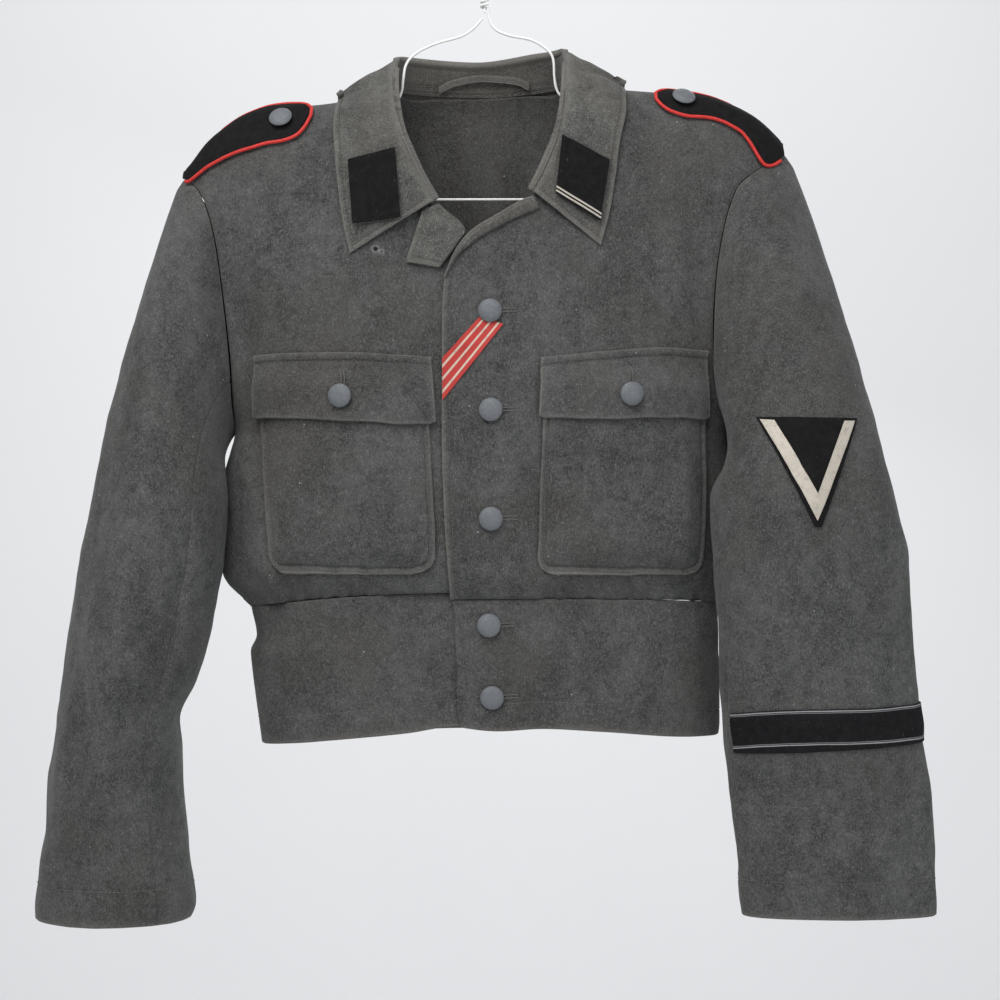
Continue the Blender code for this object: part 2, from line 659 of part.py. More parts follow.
def armhole_point(side, turn):
    """A place on the armhole: from the shoulder point, down the front, and up the back."""
    turn = np.asarray(turn, float) % 360
    share = np.where(turn <= 180, turn, 360 - turn) / 180
    found = {}
    for face, sign in (("front", -1), ("back", 1)):
        edge = ARMHOLE[side, face]
        low, high = edge.column("z")[[0, -1]]
        z = high + (low - high) * (1 - np.cos(np.pi * share)) / 2
        x = edge.at(z, "x")
        found[face] = points(x, sign * torso_depth(x, z, face), z)
    return np.where((turn <= 180)[..., None], found["front"], found["back"])


def ring_point(side, turn, z):
    """A place on the sleeve below the underarm, folds and all."""
    rings = SLEEVE_RINGS[side]
    outer, inner = rings.at(z, "outer"), rings.at(z, "inner")
    half = (outer - inner) / 2
    angle = np.radians(turn)
    x = (outer + inner) / 2 + half * np.cos(angle)
    y = rings.at(z, "middle") - rings.at(z, "deep") * np.sin(angle)
    return points(x, y, z)


def sleeve_fold_height(side, turn, z):
    total = 0.0
    for turn1, z1, turn2, z2, width, height in SLEEVE_FOLDS[side].rows:
        along = np.clip((z - z1) / (z2 - z1), 0, 1)
        off = (np.asarray(turn, float) - turn1 - (turn2 - turn1) * along + 180) % 360 - 180
        total = total + height * np.exp(-((off / width) ** 2)) * np.sin(np.pi * along) ** 0.7
    return total


def sleeve_base(side, turn, along):
    turn, along = np.broadcast_arrays(np.asarray(turn, float), np.asarray(along, float))
    sign = 1 if side == "left" else -1
    lead = unit(points(*(SLEEVE_START[side].at(turn % 360, name) for name in "xyz")))
    lead = lead * np.array([sign, 1, 1])
    start = armhole_point(side, turn) + SLEEVE_GAP * lead
    free_z = FREE_Z + FREE_TILT * np.cos(np.radians(turn))
    meet = ring_point(side, turn, free_z)
    fall = unit(ring_point(side, turn, free_z - 4.0) - meet)
    reach = np.linalg.norm(meet - start, axis=-1, keepdims=True) * 0.9
    t = np.clip(along / HEAD_SHARE, 0, 1)[..., None]
    head = (
        start * (1 + 2 * t) * (1 - t) ** 2
        + meet * t**2 * (3 - 2 * t)
        + lead * reach * t * (1 - t) ** 2
        - fall * reach * t**2 * (1 - t)
    )
    low_z = free_z + (CUFF_Z[side] - free_z) * np.clip((along - HEAD_SHARE) / (1 - HEAD_SHARE), 0, 1)
    return np.where((along < HEAD_SHARE)[..., None], head, ring_point(side, turn, low_z))


def sleeve_outward(side, turn):
    angle = np.radians(turn)
    sign = 1 if side == "left" else -1
    return unit(points(sign * np.cos(angle), -np.sin(angle) * 1.2, 0 * angle))


def sleeve_surface(side, turn, along):
    base = sleeve_base(side, turn, along)
    z = base[..., 2]
    spread = rising(0.0, 0.25, np.asarray(along, float)) * sleeve_fold_height(side, turn, z)
    return base + sleeve_outward(side, turn + 0 * z) * spread[..., None]


def add_sleeve(collection, side, upper_finish, under_finish):
    along = np.array(HEAD_ROWS + LOWER_ROWS)[:, None]
    front_seam, back_seam = SLEEVE_SEAMS[side]
    seam_half = 0.3
    spans = {
        "upper": (back_seam + seam_half, front_seam - seam_half, 14, upper_finish),
        "under": (front_seam + seam_half, back_seam + 360 - seam_half, 12, under_finish),
    }
    for piece, (first, last, columns, finish) in spans.items():
        turn = np.linspace(first, last, columns)[None, :]
        turn, rows = np.broadcast_arrays(turn, along)

        def surface(u, v):
            return sleeve_surface(side, u * 100.0, np.clip(v, 0.0, 1.0))

        outer = sleeve_surface(side, turn, rows)
        normals = surface_normals(surface, turn / 100.0, rows, sleeve_outward(side, turn))
        add_wall(collection, f"sleeve_{piece}_{side}", outer, outer - WOOL * normals, finish)


# ---- Collar and lapels


def collar_frame(place):
    """The neck seam, fold and outer edge of the collar at a place along it."""
    read = {name: COLLAR.at(place, name) for name in COLLAR.names[1:]}
    face = {-1: "front", 1: "back"}
    found = {}
    for part in ("neck", "edge"):
        x, z, hold = read[f"{part}_x"], read[f"{part}_z"], read[f"{part}_hold"]
        depth = {sign: torso_depth(x, z, name) for sign, name in face.items()}
        lift = read["lift"] if part == "edge" else 0.0
        y = np.where(hold < 0, hold * (depth[-1] + lift), hold * (depth[1] + lift))
        found[part] = points(x, y, z)
    found["fold"] = points(read["fold_x"], read["fold_y"], read["fold_z"])
    return found


def collar_surface(place, share):
    place, share = np.broadcast_arrays(np.asarray(place, float), np.asarray(share, float))
    marks = collar_frame(place)
    down = COLLAR_ROLL.at(share, "down")[..., None]
    out = COLLAR_ROLL.at(share, "out")[..., None]
    stand = marks["neck"] + (marks["fold"] - marks["neck"]) * np.clip(down, 0, 1)
    leaf = marks["fold"] + (marks["edge"] - marks["fold"]) * np.clip(down - 1, 0, 1)
    away = marks["fold"] * np.array([1, 1, 0]) - np.array([-3, 10, 0])
    away = unit(away + np.array([0, -12, 0]) * (marks["fold"][..., 1:2] < -30))
    # The leaf arches over the shoulder, highest halfway from the fold to its edge.
    beside = np.exp(-(((place - 0.37) / 0.055) ** 2)) + np.exp(-(((place - 0.635) / 0.055) ** 2))
    arch = SHOULDER_ARCH * beside[..., None] * np.sin(np.pi * np.clip(down - 1, 0, 1))
    return np.where(down <= 1, stand, leaf) + away * out + arch * np.array([0.0, 0.0, 1.0])


def add_collar(collection, finish):
    place = COLLAR.column("place")
    place = np.sort(np.concatenate([place, (place[4:11] + place[5:12]) / 2]))[:, None]
    share = COLLAR_ROLL.column("share")[None, :]
    middle = collar_surface(place, share)
    normals = grid_normals(middle, (0, 1, 0))
    outer = middle + COLLAR_CLOTH / 2 * normals
    inner = middle - COLLAR_CLOTH / 2 * normals
    add_wall(collection, "collar", outer, inner, finish)


def lay_on(surface, x, z, low, thick):
    """The under and upper face of a piece that lies on a front, low above it."""
    step = 0.5
    base = surface(x, z)
    across = surface(x + step, z) - surface(x - step, z)
    upward = surface(x, z + step) - surface(x, z - step)
    normals = unit(np.cross(across, upward))
    low = np.broadcast_to(low, np.shape(x))[..., None]
    return base + normals * (low + thick), base + normals * low


def add_lapels(collection, finish):
    t = np.linspace(0, 1, 5)[:, None]
    s = np.linspace(0, 1, 6)[None, :]
    roll = Table(
        "t x z", (0, -29, -238), (0.4, -14, -255), (0.6, -20, -265), (0.8, -28, -276), (1, -35, -285)
    )
    notch_x, notch_z = -46 + (-63 + 46) * t, -240 + (-280 + 240) * t
    x = notch_x + (roll.at(t, "x") - notch_x) * s
    z = notch_z + (roll.at(t, "z") - notch_z) * s
    outer, inner = lay_on(right_front, x, z, LAY_GAP, WOOL)
    add_wall(collection, "lapel_facing_right", outer, inner, finish)

    lip = Table(
        "t x z width", (0, -32, -293, 1.5), (0.2, -24, -273, 5), (0.4, -11, -256, 9), (0.6, 7, -244, 9),
        (0.8, 22, -235, 9), (1, 35, -228, 9),
    )  # fmt: skip
    t = np.linspace(0, 1, 9)[:, None]
    s = np.linspace(0, 1, 3)[None, :]
    x = lip.at(t, "x") + lip.at(t, "width") * s * 0.45
    z = lip.at(t, "z") + 1.0 - lip.at(t, "width") * s * 0.9
    outer, inner = lay_on(left_front, x, z, LAY_GAP, WOOL)
    add_wall(collection, "lapel_facing_left", outer, inner, finish)


# ---- Pockets, flaps and what is sewn on


def pocket_rise(side, x, z):
    """The pocket's height over the front: flat at its seams, puffed in the middle."""
    outline = POCKETS[side]
    low, high = outline.column("z")[[0, -1]]
    left, right = outline.at(z, "left"), outline.at(z, "right")
    across = np.clip((2 * x - left - right) / (right - left), -1, 1)
    up = np.clip((2 * z - low - high) / (high - low), -1, 1)
    return POCKET_LIFT + POCKET_PUFF * (1 - across**4) * (1 - up**4)


def pocket_surface(side):
    return left_front if side == "left" else right_front


def add_pocket(collection, side, finish):
    outline = POCKETS[side]
    z = outline.column("z")[:, None]
    edge = (1 - np.cos(np.pi * np.linspace(0, 1, 9)[None, :])) / 2
    left, right = outline.at(z, "left"), outline.at(z, "right")
    x = left + (right - left) * edge
    z = z + 0 * x
    outer, inner = lay_on(pocket_surface(side), x, z, pocket_rise(side, x, z), POCKET_CLOTH)
    add_wall(collection, f"pocket_{side}", outer, inner, finish)


def flap_rise(side, x, z):
    """The flap's height over the front: sewn down at its top, over the pocket's mouth below."""
    mouth = POCKETS[side].column("z")[-1]
    over_pocket = pocket_rise(side, x, np.minimum(z, mouth)) + POCKET_CLOTH + 2 * LAY_GAP
    return FLAP_LIFT + (over_pocket - FLAP_LIFT) * (1 - rising(mouth + 2, mouth + 26, z))


def add_flap(collection, side, finish):
    outline = FLAPS[side]
    x = outline.column("x")
    x = np.sort(np.concatenate([x, (x[:-1] + x[1:]) / 2]))[None, :]
    t = np.array([0, 0.18, 0.36, 0.52, 0.75, 1.0])[:, None]
    top, bottom = outline.at(x, "top"), outline.at(x, "bottom")
    z = top + (bottom - top) * t
    slant = np.interp(x, [x.min(), x.max()], FLAP_SLANT[side])
    x = x + slant * t
    outer, inner = lay_on(pocket_surface(side), x, z, flap_rise(side, x, z), FLAP_CLOTH)
    add_wall(collection, f"pocket_flap_{side}", outer, inner, finish)


def find_on(surface, x, z, u, v):
    """The places (u, v) at which the surface shows at x and z from the front."""
    u, v = np.broadcast_to(u, np.shape(x)).astype(float), np.broadcast_to(v, np.shape(x)).astype(float)
    near = 0.003
    for _ in range(14):
        here = surface(u, v)
        du = (surface(u + near, v) - surface(u - near, v)) / (2 * near)
        dv = (surface(u, v + near) - surface(u, v - near)) / (2 * near)
        miss_x, miss_z = x - here[..., 0], z - here[..., 2]
        spread = du[..., 0] * dv[..., 2] - dv[..., 0] * du[..., 2]
        step_u = (miss_x * dv[..., 2] - miss_z * dv[..., 0]) / spread
        step_v = (miss_z * du[..., 0] - miss_x * du[..., 2]) / spread
        u, v = u + np.clip(step_u, -0.15, 0.15), v + np.clip(step_v, -0.15, 0.15)
    return u, v


def lay_on_found(surface, x, z, u, v, low, thick):
    u, v = find_on(surface, x, z, u, v)
    normals = surface_normals(surface, u, v, np.array([0.0, -1.0, 0.0]))
    base = surface(u, v)
    return base + normals * (low + thick), base + normals * low


def quad_places(corners, rows, columns):
    """Places in x and z over a four-sided patch, from its corners in turn."""
    first, second, third, fourth = (np.array(corner, float) for corner in corners)
    t = np.linspace(0, 1, rows)[:, None, None]
    s = np.linspace(0, 1, columns)[None, :, None]
    places = (1 - t) * ((1 - s) * first + s * second) + t * ((1 - s) * fourth + s * third)
    return places[..., 0], places[..., 1]


def add_collar_patches(collection, finish):
    low = COLLAR_CLOTH / 2 + LAY_GAP
    right = ((-109, -197), (-71, -188), (-66.5, -244), (-105, -249))
    x, z = quad_places(right, 6, 4)
    outer, inner = lay_on_found(collar_surface, x, z, 0.15, 0.8, low, TRIM_CLOTH)
    add_wall(collection, "collar_patch_right", outer, inner, finish)
    left = ((62.5, -178), (100.5, -197), (93, -247), (57, -225.5))
    x, z = quad_places(left, 6, 4)
    outer, inner = lay_on_found(collar_surface, x, z, 0.85, 0.8, low, TRIM_CLOTH)
    add_wall(collection, "collar_patch_left", outer, inner, finish)


def add_sleeve_marks(collection, black, pale):
    def surface(u, v):
        return sleeve_surface("left", u * 100.0, v)

    top_left, top_right, tip = (214, -405), (293.5, -406), (260.5, -491)
    corners = (top_left, top_right, (tip[0] + 2.5, tip[1]), (tip[0] - 2.5, tip[1]))
    x, z = quad_places(corners, 8, 7)
    triangle_lift = 1.2
    outer, inner = lay_on_found(surface, x, z, 0.95, 0.4, triangle_lift, TRIM_CLOTH)
    add_wall(collection, "sleeve_triangle", outer, inner, black)

    braid = Table(
        "t x z in_x in_z",
        (0, 217, -407.5, 228, -408),
        (1, 259.5, -486, 259.5, -465),
        (2, 290, -408.5, 281, -408.5),
    )
    t = np.linspace(0, 2, 13)[:, None]
    s = np.linspace(0, 1, 2)[None, :]
    ends = [np.interp(t, braid.column("t"), braid.column(name)) for name in ("x", "z", "in_x", "in_z")]
    x = ends[0] + (ends[2] - ends[0]) * s
    z = ends[1] + (ends[3] - ends[1]) * s
    low = triangle_lift + TRIM_CLOTH + 2 * LAY_GAP
    outer, inner = lay_on_found(surface, x, z, 0.95, 0.4, low, TRIM_CLOTH)
    add_wall(collection, "sleeve_chevron", outer, inner, pale)


def add_cuff_band(collection, black):
    span = Table(
        "turn top bottom", (-24, -631, -661.5), (60, -633.5, -665.5), (110, -635, -669), (158, -640, -671.5)
    )
    turn = np.linspace(-24, 158, 16)[None, :]
    t = np.linspace(0, 1, 3)[:, None]
    z = span.at(turn, "top") + (span.at(turn, "bottom") - span.at(turn, "top")) * t
    free_z = FREE_Z + FREE_TILT * np.cos(np.radians(turn))
    along = HEAD_SHARE + (1 - HEAD_SHARE) * (z - free_z) / (CUFF_Z["left"] - free_z)
    turn, along = np.broadcast_arrays(turn, along)

    def surface(u, v):
        return sleeve_surface("left", u * 100.0, v)

    base = surface(turn / 100.0, along)
    normals = surface_normals(surface, turn / 100.0, along, sleeve_outward("left", turn))
    low = LAY_GAP + 0.4
    outer, inner = base + normals * (low + TRIM_CLOTH), base + normals * low
    add_wall(collection, "cuff_band", outer, inner, black)


def add_ribbon(collection, finish):
    corners = ((-3, -323.5), (15.5, -330), (-33, -391), (-33.2, -357))
    x, z = quad_places(corners, 7, 4)
    outer, inner = lay_on(left_front, x, z, LAY_GAP, 0.8)
    add_wall(collection, "ribbon", outer, inner, finish)


def add_hang_loop(collection, finish):
    """A cloth loop inside the back of the collar's stand, sewn down at both ends."""
    path = Table(
        "t share place",
        (0, 0.04, 0.466), (0.3, 0.15, 0.48), (0.55, 0.22, 0.5), (0.8, 0.15, 0.522), (1, 0.05, 0.534),
    )  # fmt: skip
    t = np.linspace(0, 1, 9)[:, None]
    s = np.array([0.0, 0.1])[None, :]
    place, share = np.broadcast_arrays(path.at(t, "place"), path.at(t, "share") + s)
    normals = surface_normals(collar_surface, place, share, np.array([0.0, -1.0, 0.0]))
    low = COLLAR_CLOTH / 2 + 2 * LAY_GAP
    base = collar_surface(place, share)
    add_wall(collection, "hang_loop", base + normals * (low + TRIM_CLOTH), base + normals * low, finish)


# ---- Shoulder straps


def shoulder_point(x, lean):
    """A place on the shoulder. lean is in radians: 0 on the ridge, rising to the front."""
    z_ridge = RIDGE.at(x, "z")
    front, back = REACH["front"], REACH["back"]
    reach = np.where(lean > 0, front, back)
    z = z_ridge - reach * (1 - np.cos(lean))
    depth = np.where(lean > 0, torso_depth(x, z, "front"), torso_depth(x, z, "back"))
    return points(x, -np.sign(lean) * depth, z)


def strap_lean(drop):
    reach = np.where(drop > 0, REACH["front"], REACH["back"])
    return np.sign(drop) * np.arccos(1 - np.abs(drop) / reach)


def strap_surface(x, lean):
    return shoulder_point(x * 100.0, lean)


def strap_layer(x, lean, lift):
    normals = surface_normals(strap_surface, x / 100.0, lean, np.array([0.0, -0.3, 1.0]))
    return strap_surface(x / 100.0, lean) + normals * lift


def add_shoulder_strap(collection, side, black, red):
    outline = SHOULDER_STRAPS[side]
    x = outline.column("x")
    x = np.sort(np.concatenate([x, (x[:-1] + x[1:]) / 2]))[:, None]
    front = strap_lean(outline.at(x, "front_drop"))
    back = strap_lean(-outline.at(x, "back_drop"))
    across = np.linspace(0, 1, 6)[None, :]
    lean = back + (front - back) * across
    x = x + 0 * lean
    outer, inner = strap_layer(x, lean, STRAP_LIFT + STRAP_CLOTH), strap_layer(x, lean, STRAP_LIFT)
    add_wall(collection, f"shoulder_strap_{side}", outer, inner, black)

    # The cord runs round the strap's edge but not across the end that is in the sleeve seam.
    if side == "left":
        outer, inner = outer[::-1], inner[::-1]
    loops = []
    for layer in (outer, inner):
        front_edge, tip, back_edge = layer[1:, -1], layer[-1, ::-1], layer[:0:-1, 0]
        loops.append(np.concatenate([front_edge, tip[1:-1], back_edge]))
    loop = (loops[0] + loops[1]) / 2
    out = unit(np.cross(np.gradient(loop, axis=0), loops[0] - loops[1]))
    if np.sum(out[0] * (loop[0] - inner.mean(axis=(0, 1)))) < 0:
        out = -out
    add_tube(collection, f"strap_piping_{side}", loop + out * (PIPING_WIDTH / 2 + 0.7), PIPING_WIDTH, red)


# ---- Buttons


def button_mesh(finish):
    mesh = bpy.data.meshes.new("button")
    profile = [(radius * MM, 0.0, height * MM) for radius, height in BUTTON_PROFILE]
    mesh.from_pydata(profile, [(i, i + 1) for i in range(len(profile) - 1)], [])
    mesh.materials.append(finish)
    return mesh


def add_button(collection, name, mesh, place, normal):
    obj = bpy.data.objects.new(name, mesh)
    collection.objects.link(obj)
    spin = obj.modifiers.new("turned", "SCREW")
    spin.steps = spin.render_steps = BUTTON_SIDES
    spin.use_merge_vertices = True
    spin.merge_threshold = 0.00002
    spin.use_smooth_shade = True
    x, y, z = normal
    pitch = math.acos(max(-1.0, min(1.0, z)))
    obj.rotation_euler = (0.0, pitch, math.atan2(y, x))
    obj.location = place * MM
    return obj


def add_buttons(collection, finish):
    mesh = button_mesh(finish)
    shank = -BUTTON_PROFILE[-1][1]
    for name, (x, z) in BUTTONS.items():
        x, z = np.array([x]), np.array([z])
        if "flap" in name:
            side = name.rsplit("_", 1)[1]
            surface, low = pocket_surface(side), flap_rise(side, x, z) + FLAP_CLOTH + LAY_GAP
        elif z[0] < WAIST["left"].at(0, "z"):
            surface, low = band_left, LAY_GAP
        else:
            surface, low = left_front, LAY_GAP
        above, below = lay_on(surface, x, z, low, shank)
        add_button(collection, name, mesh, above[0], unit(above - below)[0])
    for name, (x, drop) in STRAP_BUTTONS.items():
        x, lean = np.array([x]), strap_lean(np.array([drop]))
        low = STRAP_LIFT + STRAP_CLOTH + LAY_GAP
        above, below = strap_layer(x, lean, low + shank), strap_layer(x, lean, low)
        add_button(collection, name, mesh, above[0], unit(above - below)[0])


# ---- Hanger


def add_hanger(collection, finish):
    """One bent wire: a hook on a stem, and a frame whose end wraps round the stem."""
    arc = np.radians(np.linspace(-56, 205, 20))
    radius = HOOK_RADIUS + WIRE_WIDTH / 2
    hook = [(radius * math.cos(a), 0.0, radius * math.sin(a) - HOOK_RADIUS) for a in arc]
    stem = [(0, 0, -65), (0, 0, -46), (1.2, 0, -40.5), (5.0, 0, -36)]
    add_tube(collection, "hanger_hook", stem + hook, WIRE_WIDTH, finish)

    below = 6.0
    right_rest = [(x, RIDGE.at(x, "z") - below) for x in (-90, -110, -135, -160, -180, -195, -205)]
    left_rest = [(x, RIDGE.at(x, "z") - below) for x in (202, 190, 172, 150, 125, 100, 84)]
    right_arm = [(-2, -70), (-9, -78), (-20, -85), (-41, -91), (-57, -99)]
    right_arm += [(-65, -108), (-67.5, -120), (-69, -131), (-74, -138)]
    left_arm = [(66, -135), (60, -129), (58, -118), (57, -104), (52, -96)]
    left_arm += [(39, -88), (20, -84), (9, -79), (4.5, -72), (2.9, -65)]
    right_turn = [(-212, -180), (-214, -195), (-211, -208), (-203, -216), (-190, -220)]
    left_turn = [(190, -220), (203, -216), (211, -207), (214, -194), (212, -175), (209, -160)]
    frame = right_arm + right_rest + right_turn + left_turn + left_rest + left_arm
    frame = [(x, 0.0, z) for x, z in frame]
    wrap_radius, wraps, pitch = WIRE_WIDTH + 0.5, 2.25, 3.4
    wrap = [
        (wrap_radius * math.cos(a), wrap_radius * math.sin(a), -61.5 + pitch * a / (2 * math.pi))
        for a in np.linspace(0, wraps * 2 * math.pi, 17)
    ]
    add_tube(collection, "hanger_frame", frame + wrap, WIRE_WIDTH, finish)


def main():
    tunic = clear_scene()
    wool = material("field_wool", WOOL_GREEN, 0.95)
    under_wool = material("under_sleeve_wool", WOOL_DARK, 0.95)
    collar_wool = material("collar_wool", COLLAR_GREEN, 0.95)
    black = material("black_cloth", BLACK_CLOTH, 0.9)
    pale = material("pale_braid", PALE_BRAID, 0.8)
    red = material("red_cloth", RED_CLOTH, 0.85)
    enamel = material("button_enamel", BUTTON_GREY, 0.45, 0.3)
    white = material("hanger_coating", HANGER_WHITE, 0.35)

    add_hanger(tunic, white)
    add_back(tunic, wool)
    for side in ("right", "left"):
        add_front(tunic, side, wool)
        add_sleeve(tunic, side, wool, under_wool)
        add_pocket(tunic, side, wool)
        add_flap(tunic, side, wool)
        add_shoulder_strap(tunic, side, black, red)
    add_waistbands(tunic, wool)
    add_collar(tunic, collar_wool)
    add_lapels(tunic, collar_wool)
    add_collar_patches(tunic, black)
    add_sleeve_marks(tunic, black, pale)
    add_cuff_band(tunic, black)
    add_ribbon(tunic, red)
    add_hang_loop(tunic, wool)
    add_buttons(tunic, enamel)


main()
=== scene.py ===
"""The finished look of a short wool combat tunic on a wire hanger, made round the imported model.

Lengths are in millimetres until a mesh is made, in the model's frame: +Z is up, the front faces -Y,
and the origin is the inner top of the hanger's hook. The tunic's own right is at -X.
"""

import math

import bpy
import numpy as np
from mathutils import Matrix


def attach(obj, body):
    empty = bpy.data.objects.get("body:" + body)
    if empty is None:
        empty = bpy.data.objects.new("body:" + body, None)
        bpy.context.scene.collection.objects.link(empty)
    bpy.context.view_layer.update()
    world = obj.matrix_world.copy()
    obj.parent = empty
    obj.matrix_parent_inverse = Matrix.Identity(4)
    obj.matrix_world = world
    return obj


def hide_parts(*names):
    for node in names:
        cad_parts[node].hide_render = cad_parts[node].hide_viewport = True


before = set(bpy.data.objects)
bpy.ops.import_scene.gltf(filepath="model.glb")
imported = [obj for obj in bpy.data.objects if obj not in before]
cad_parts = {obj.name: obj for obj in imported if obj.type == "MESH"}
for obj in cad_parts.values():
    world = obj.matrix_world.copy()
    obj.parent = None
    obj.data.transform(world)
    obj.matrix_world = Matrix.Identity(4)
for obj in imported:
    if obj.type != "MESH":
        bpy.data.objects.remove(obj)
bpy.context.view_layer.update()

MM = 0.001

# ---- The wall, the light and the view ----
# A plain white plastered wall far behind the tunic, and a pale floor well below it. Soft light
# comes from high in front, and the camera looks level at the middle of the tunic from 1.6 m.


class Shade:
    """A socket of a material. Sums with it add Math nodes, and node() adds any other node."""

    def __init__(self, tree, socket=None):
        self.tree, self.socket = tree, socket

    def node(self, kind, settings=(), inputs=(), output=0):
        made = self.tree.nodes.new(kind)
        for name, value in dict(settings).items():
            setattr(made, name, value)
        for name, value in dict(inputs).items():
            if isinstance(value, Shade):
                self.tree.links.new(value.socket, made.inputs[name])
            else:
                made.inputs[name].default_value = value
        return Shade(self.tree, made.outputs[output])

    def math(self, operation, *values, clamp=False):
        settings = {"operation": operation, "use_clamp": clamp}
        return self.node("ShaderNodeMath", settings, dict(enumerate(values)))

    def __add__(self, other):
        return self.math("ADD", self, other)

    def __sub__(self, other):
        return self.math("SUBTRACT", self, other)

    def __mul__(self, other):
        return self.math("MULTIPLY", self, other)

    def __truediv__(self, other):
        return self.math("DIVIDE", self, other)

    def __rsub__(self, other):
        return self.math("SUBTRACT", other, self)

    __radd__, __rmul__ = __add__, __mul__

    def between(self, low, high):
        """0 below low and 1 above high."""
        return self.math("MULTIPLY", self - low, 1 / (high - low), clamp=True)

    def mixed(self, share, other):
        """This colour, with a share of the other one."""
        values = {0: share, 6: self, 7: other}
        return self.node("ShaderNodeMix", {"data_type": "RGBA"}, values, 2)

    def noise(self, place, scale, detail=2.0, roughness=0.5):
        values = {"Vector": place, "Scale": scale, "Detail": detail, "Roughness": roughness}
        return self.node("ShaderNodeTexNoise", {}, values)


def new_finish(name, **settled):
    """A material, its shader with the values that are the same all over, and a Shade to build on."""
    finish = bpy.data.materials.new(name)
    finish.use_nodes = True
    tree = finish.node_tree
    shader = tree.nodes["Principled BSDF"]
    for socket, value in settled.items():
        shader.inputs[socket.replace("_", " ")].default_value = value
    return finish, shader, Shade(tree)


def feed(shader, **sockets):
    for name, value in sockets.items():
        shader.id_data.links.new(value.socket, shader.inputs[name.replace("_", " ")])


def quad_mesh(name, places, quads, finish):
    """An object from places in millimetres and faces of four corners."""
    mesh = bpy.data.meshes.new(name)
    mesh.vertices.add(len(places))
    mesh.vertices.foreach_set("co", (places * MM).astype(np.float32).ravel())
    mesh.loops.add(quads.size)
    mesh.loops.foreach_set("vertex_index", quads.astype(np.int32).ravel())
    mesh.polygons.add(len(quads))
    mesh.polygons.foreach_set("loop_start", np.arange(0, quads.size, 4, dtype=np.int32))
    mesh.update(calc_edges=True)
    mesh.shade_smooth()
    mesh.materials.append(finish)
    made = bpy.data.objects.new(name, mesh)
    bpy.context.scene.collection.objects.link(made)
    return made


plaster, plaster_shader, draw = new_finish("wall_plaster", Roughness=0.9)
place = draw.node("ShaderNodeTexCoord", output=3)
plaster_bump = draw.node(
    "ShaderNodeBump", {}, {"Height": draw.noise(place, 45.0, 5.0), "Distance": 0.0006, "Strength": 0.35}
)
tint = draw.noise(place, 2.0, 2.0)
pale = draw.node("ShaderNodeRGB")
pale.socket.default_value = (0.86, 0.862, 0.87, 1)
feed(plaster_shader, Base_Color=pale.mixed(tint, (0.83, 0.834, 0.845, 1)), Normal=plaster_bump)

wall_y, floor_z, reach_x, reach_y = 3400.0, -2300.0, 6000.0, -4000.0
wall_places = np.array(
    [
        (-reach_x, wall_y, 3000.0), (reach_x, wall_y, 3000.0),
        (-reach_x, wall_y, floor_z), (reach_x, wall_y, floor_z),
        (-reach_x, reach_y, floor_z), (reach_x, reach_y, floor_z),
    ]
)  # fmt: skip
wall = quad_mesh("wall_and_floor", wall_places, np.array([(2, 3, 1, 0), (4, 5, 3, 2)]), plaster)
for face in wall.data.polygons:
    face.use_smooth = False

for name, spot, aim, size, watts, colour in (
    ("window_light", (-0.70, -1.75, 1.60), (0.0, 0.0, -0.55), 2.0, 76.0, (1.0, 0.99, 0.975)),
    ("room_light", (1.7, -2.0, -0.9), (0.0, 0.0, -0.7), 1.8, 17.0, (0.97, 0.98, 1.0)),
    ("back_light", (0.6, 2.6, 1.2), (0.0, 0.0, -0.45), 1.8, 46.0, (1.0, 1.0, 1.0)),
    ("wall_light", (0.0, 1.3, 1.9), (0.0, 3.4, 0.5), 2.4, 24.0, (1.0, 1.0, 1.0)),
):
    lamp = bpy.data.lights.new(name, "AREA")
    lamp.size, lamp.energy, lamp.color = size, watts, colour
    lamp_object = bpy.data.objects.new(name, lamp)
    bpy.context.scene.collection.objects.link(lamp_object)
    lamp_object.location = spot
    turn = np.array(aim) - np.array(spot)
    heading = math.atan2(turn[1], turn[0])
    fall = math.acos(turn[2] / np.linalg.norm(turn))
    lamp_object.rotation_euler = (math.pi - fall, 0.0, heading + math.pi / 2 + math.pi)

sky = bpy.data.worlds.new("soft_room")
sky.use_nodes = True
sky.node_tree.nodes["Background"].inputs["Color"].default_value = (0.95, 0.97, 1.0, 1)
sky.node_tree.nodes["Background"].inputs["Strength"].default_value = 0.46
bpy.context.scene.world = sky
bpy.context.scene.view_settings.view_transform = "Standard"

camera = bpy.data.objects.new("camera", bpy.data.cameras.new("camera"))
bpy.context.scene.collection.objects.link(camera)
camera.location = (0.0128, -1.62, -0.470)
camera.rotation_euler = (math.pi / 2, 0.0, 0.0)
camera.data.sensor_width = 36.0
camera.data.lens = 36.0 * 1.56 / 0.8
bpy.context.scene.camera = camera

# ---- The hanger ----
# One length of 2.2 mm steel wire in a thin white coating, bent to a hook and a flat frame. Its
# two ends are wound round each other under the hook.


def through(path, steps):
    """A smooth path through the points, with so many steps from each to the next."""
    path = np.array(path, float)
    held = np.concatenate([2 * path[:1] - path[1:2], path, 2 * path[-1:] - path[-2:-1]])
    t = np.linspace(0, 1, steps, endpoint=False)[:, None]
    stretches = [
        0.5 * (2 * b + (c - a) * t + (2 * a - 5 * b + 4 * c - d) * t**2 + (3 * b - a - 3 * c + d) * t**3)
        for a, b, c, d in zip(held, held[1:], held[2:], held[3:])
    ]
    return np.concatenate(stretches + [path[-1:]])


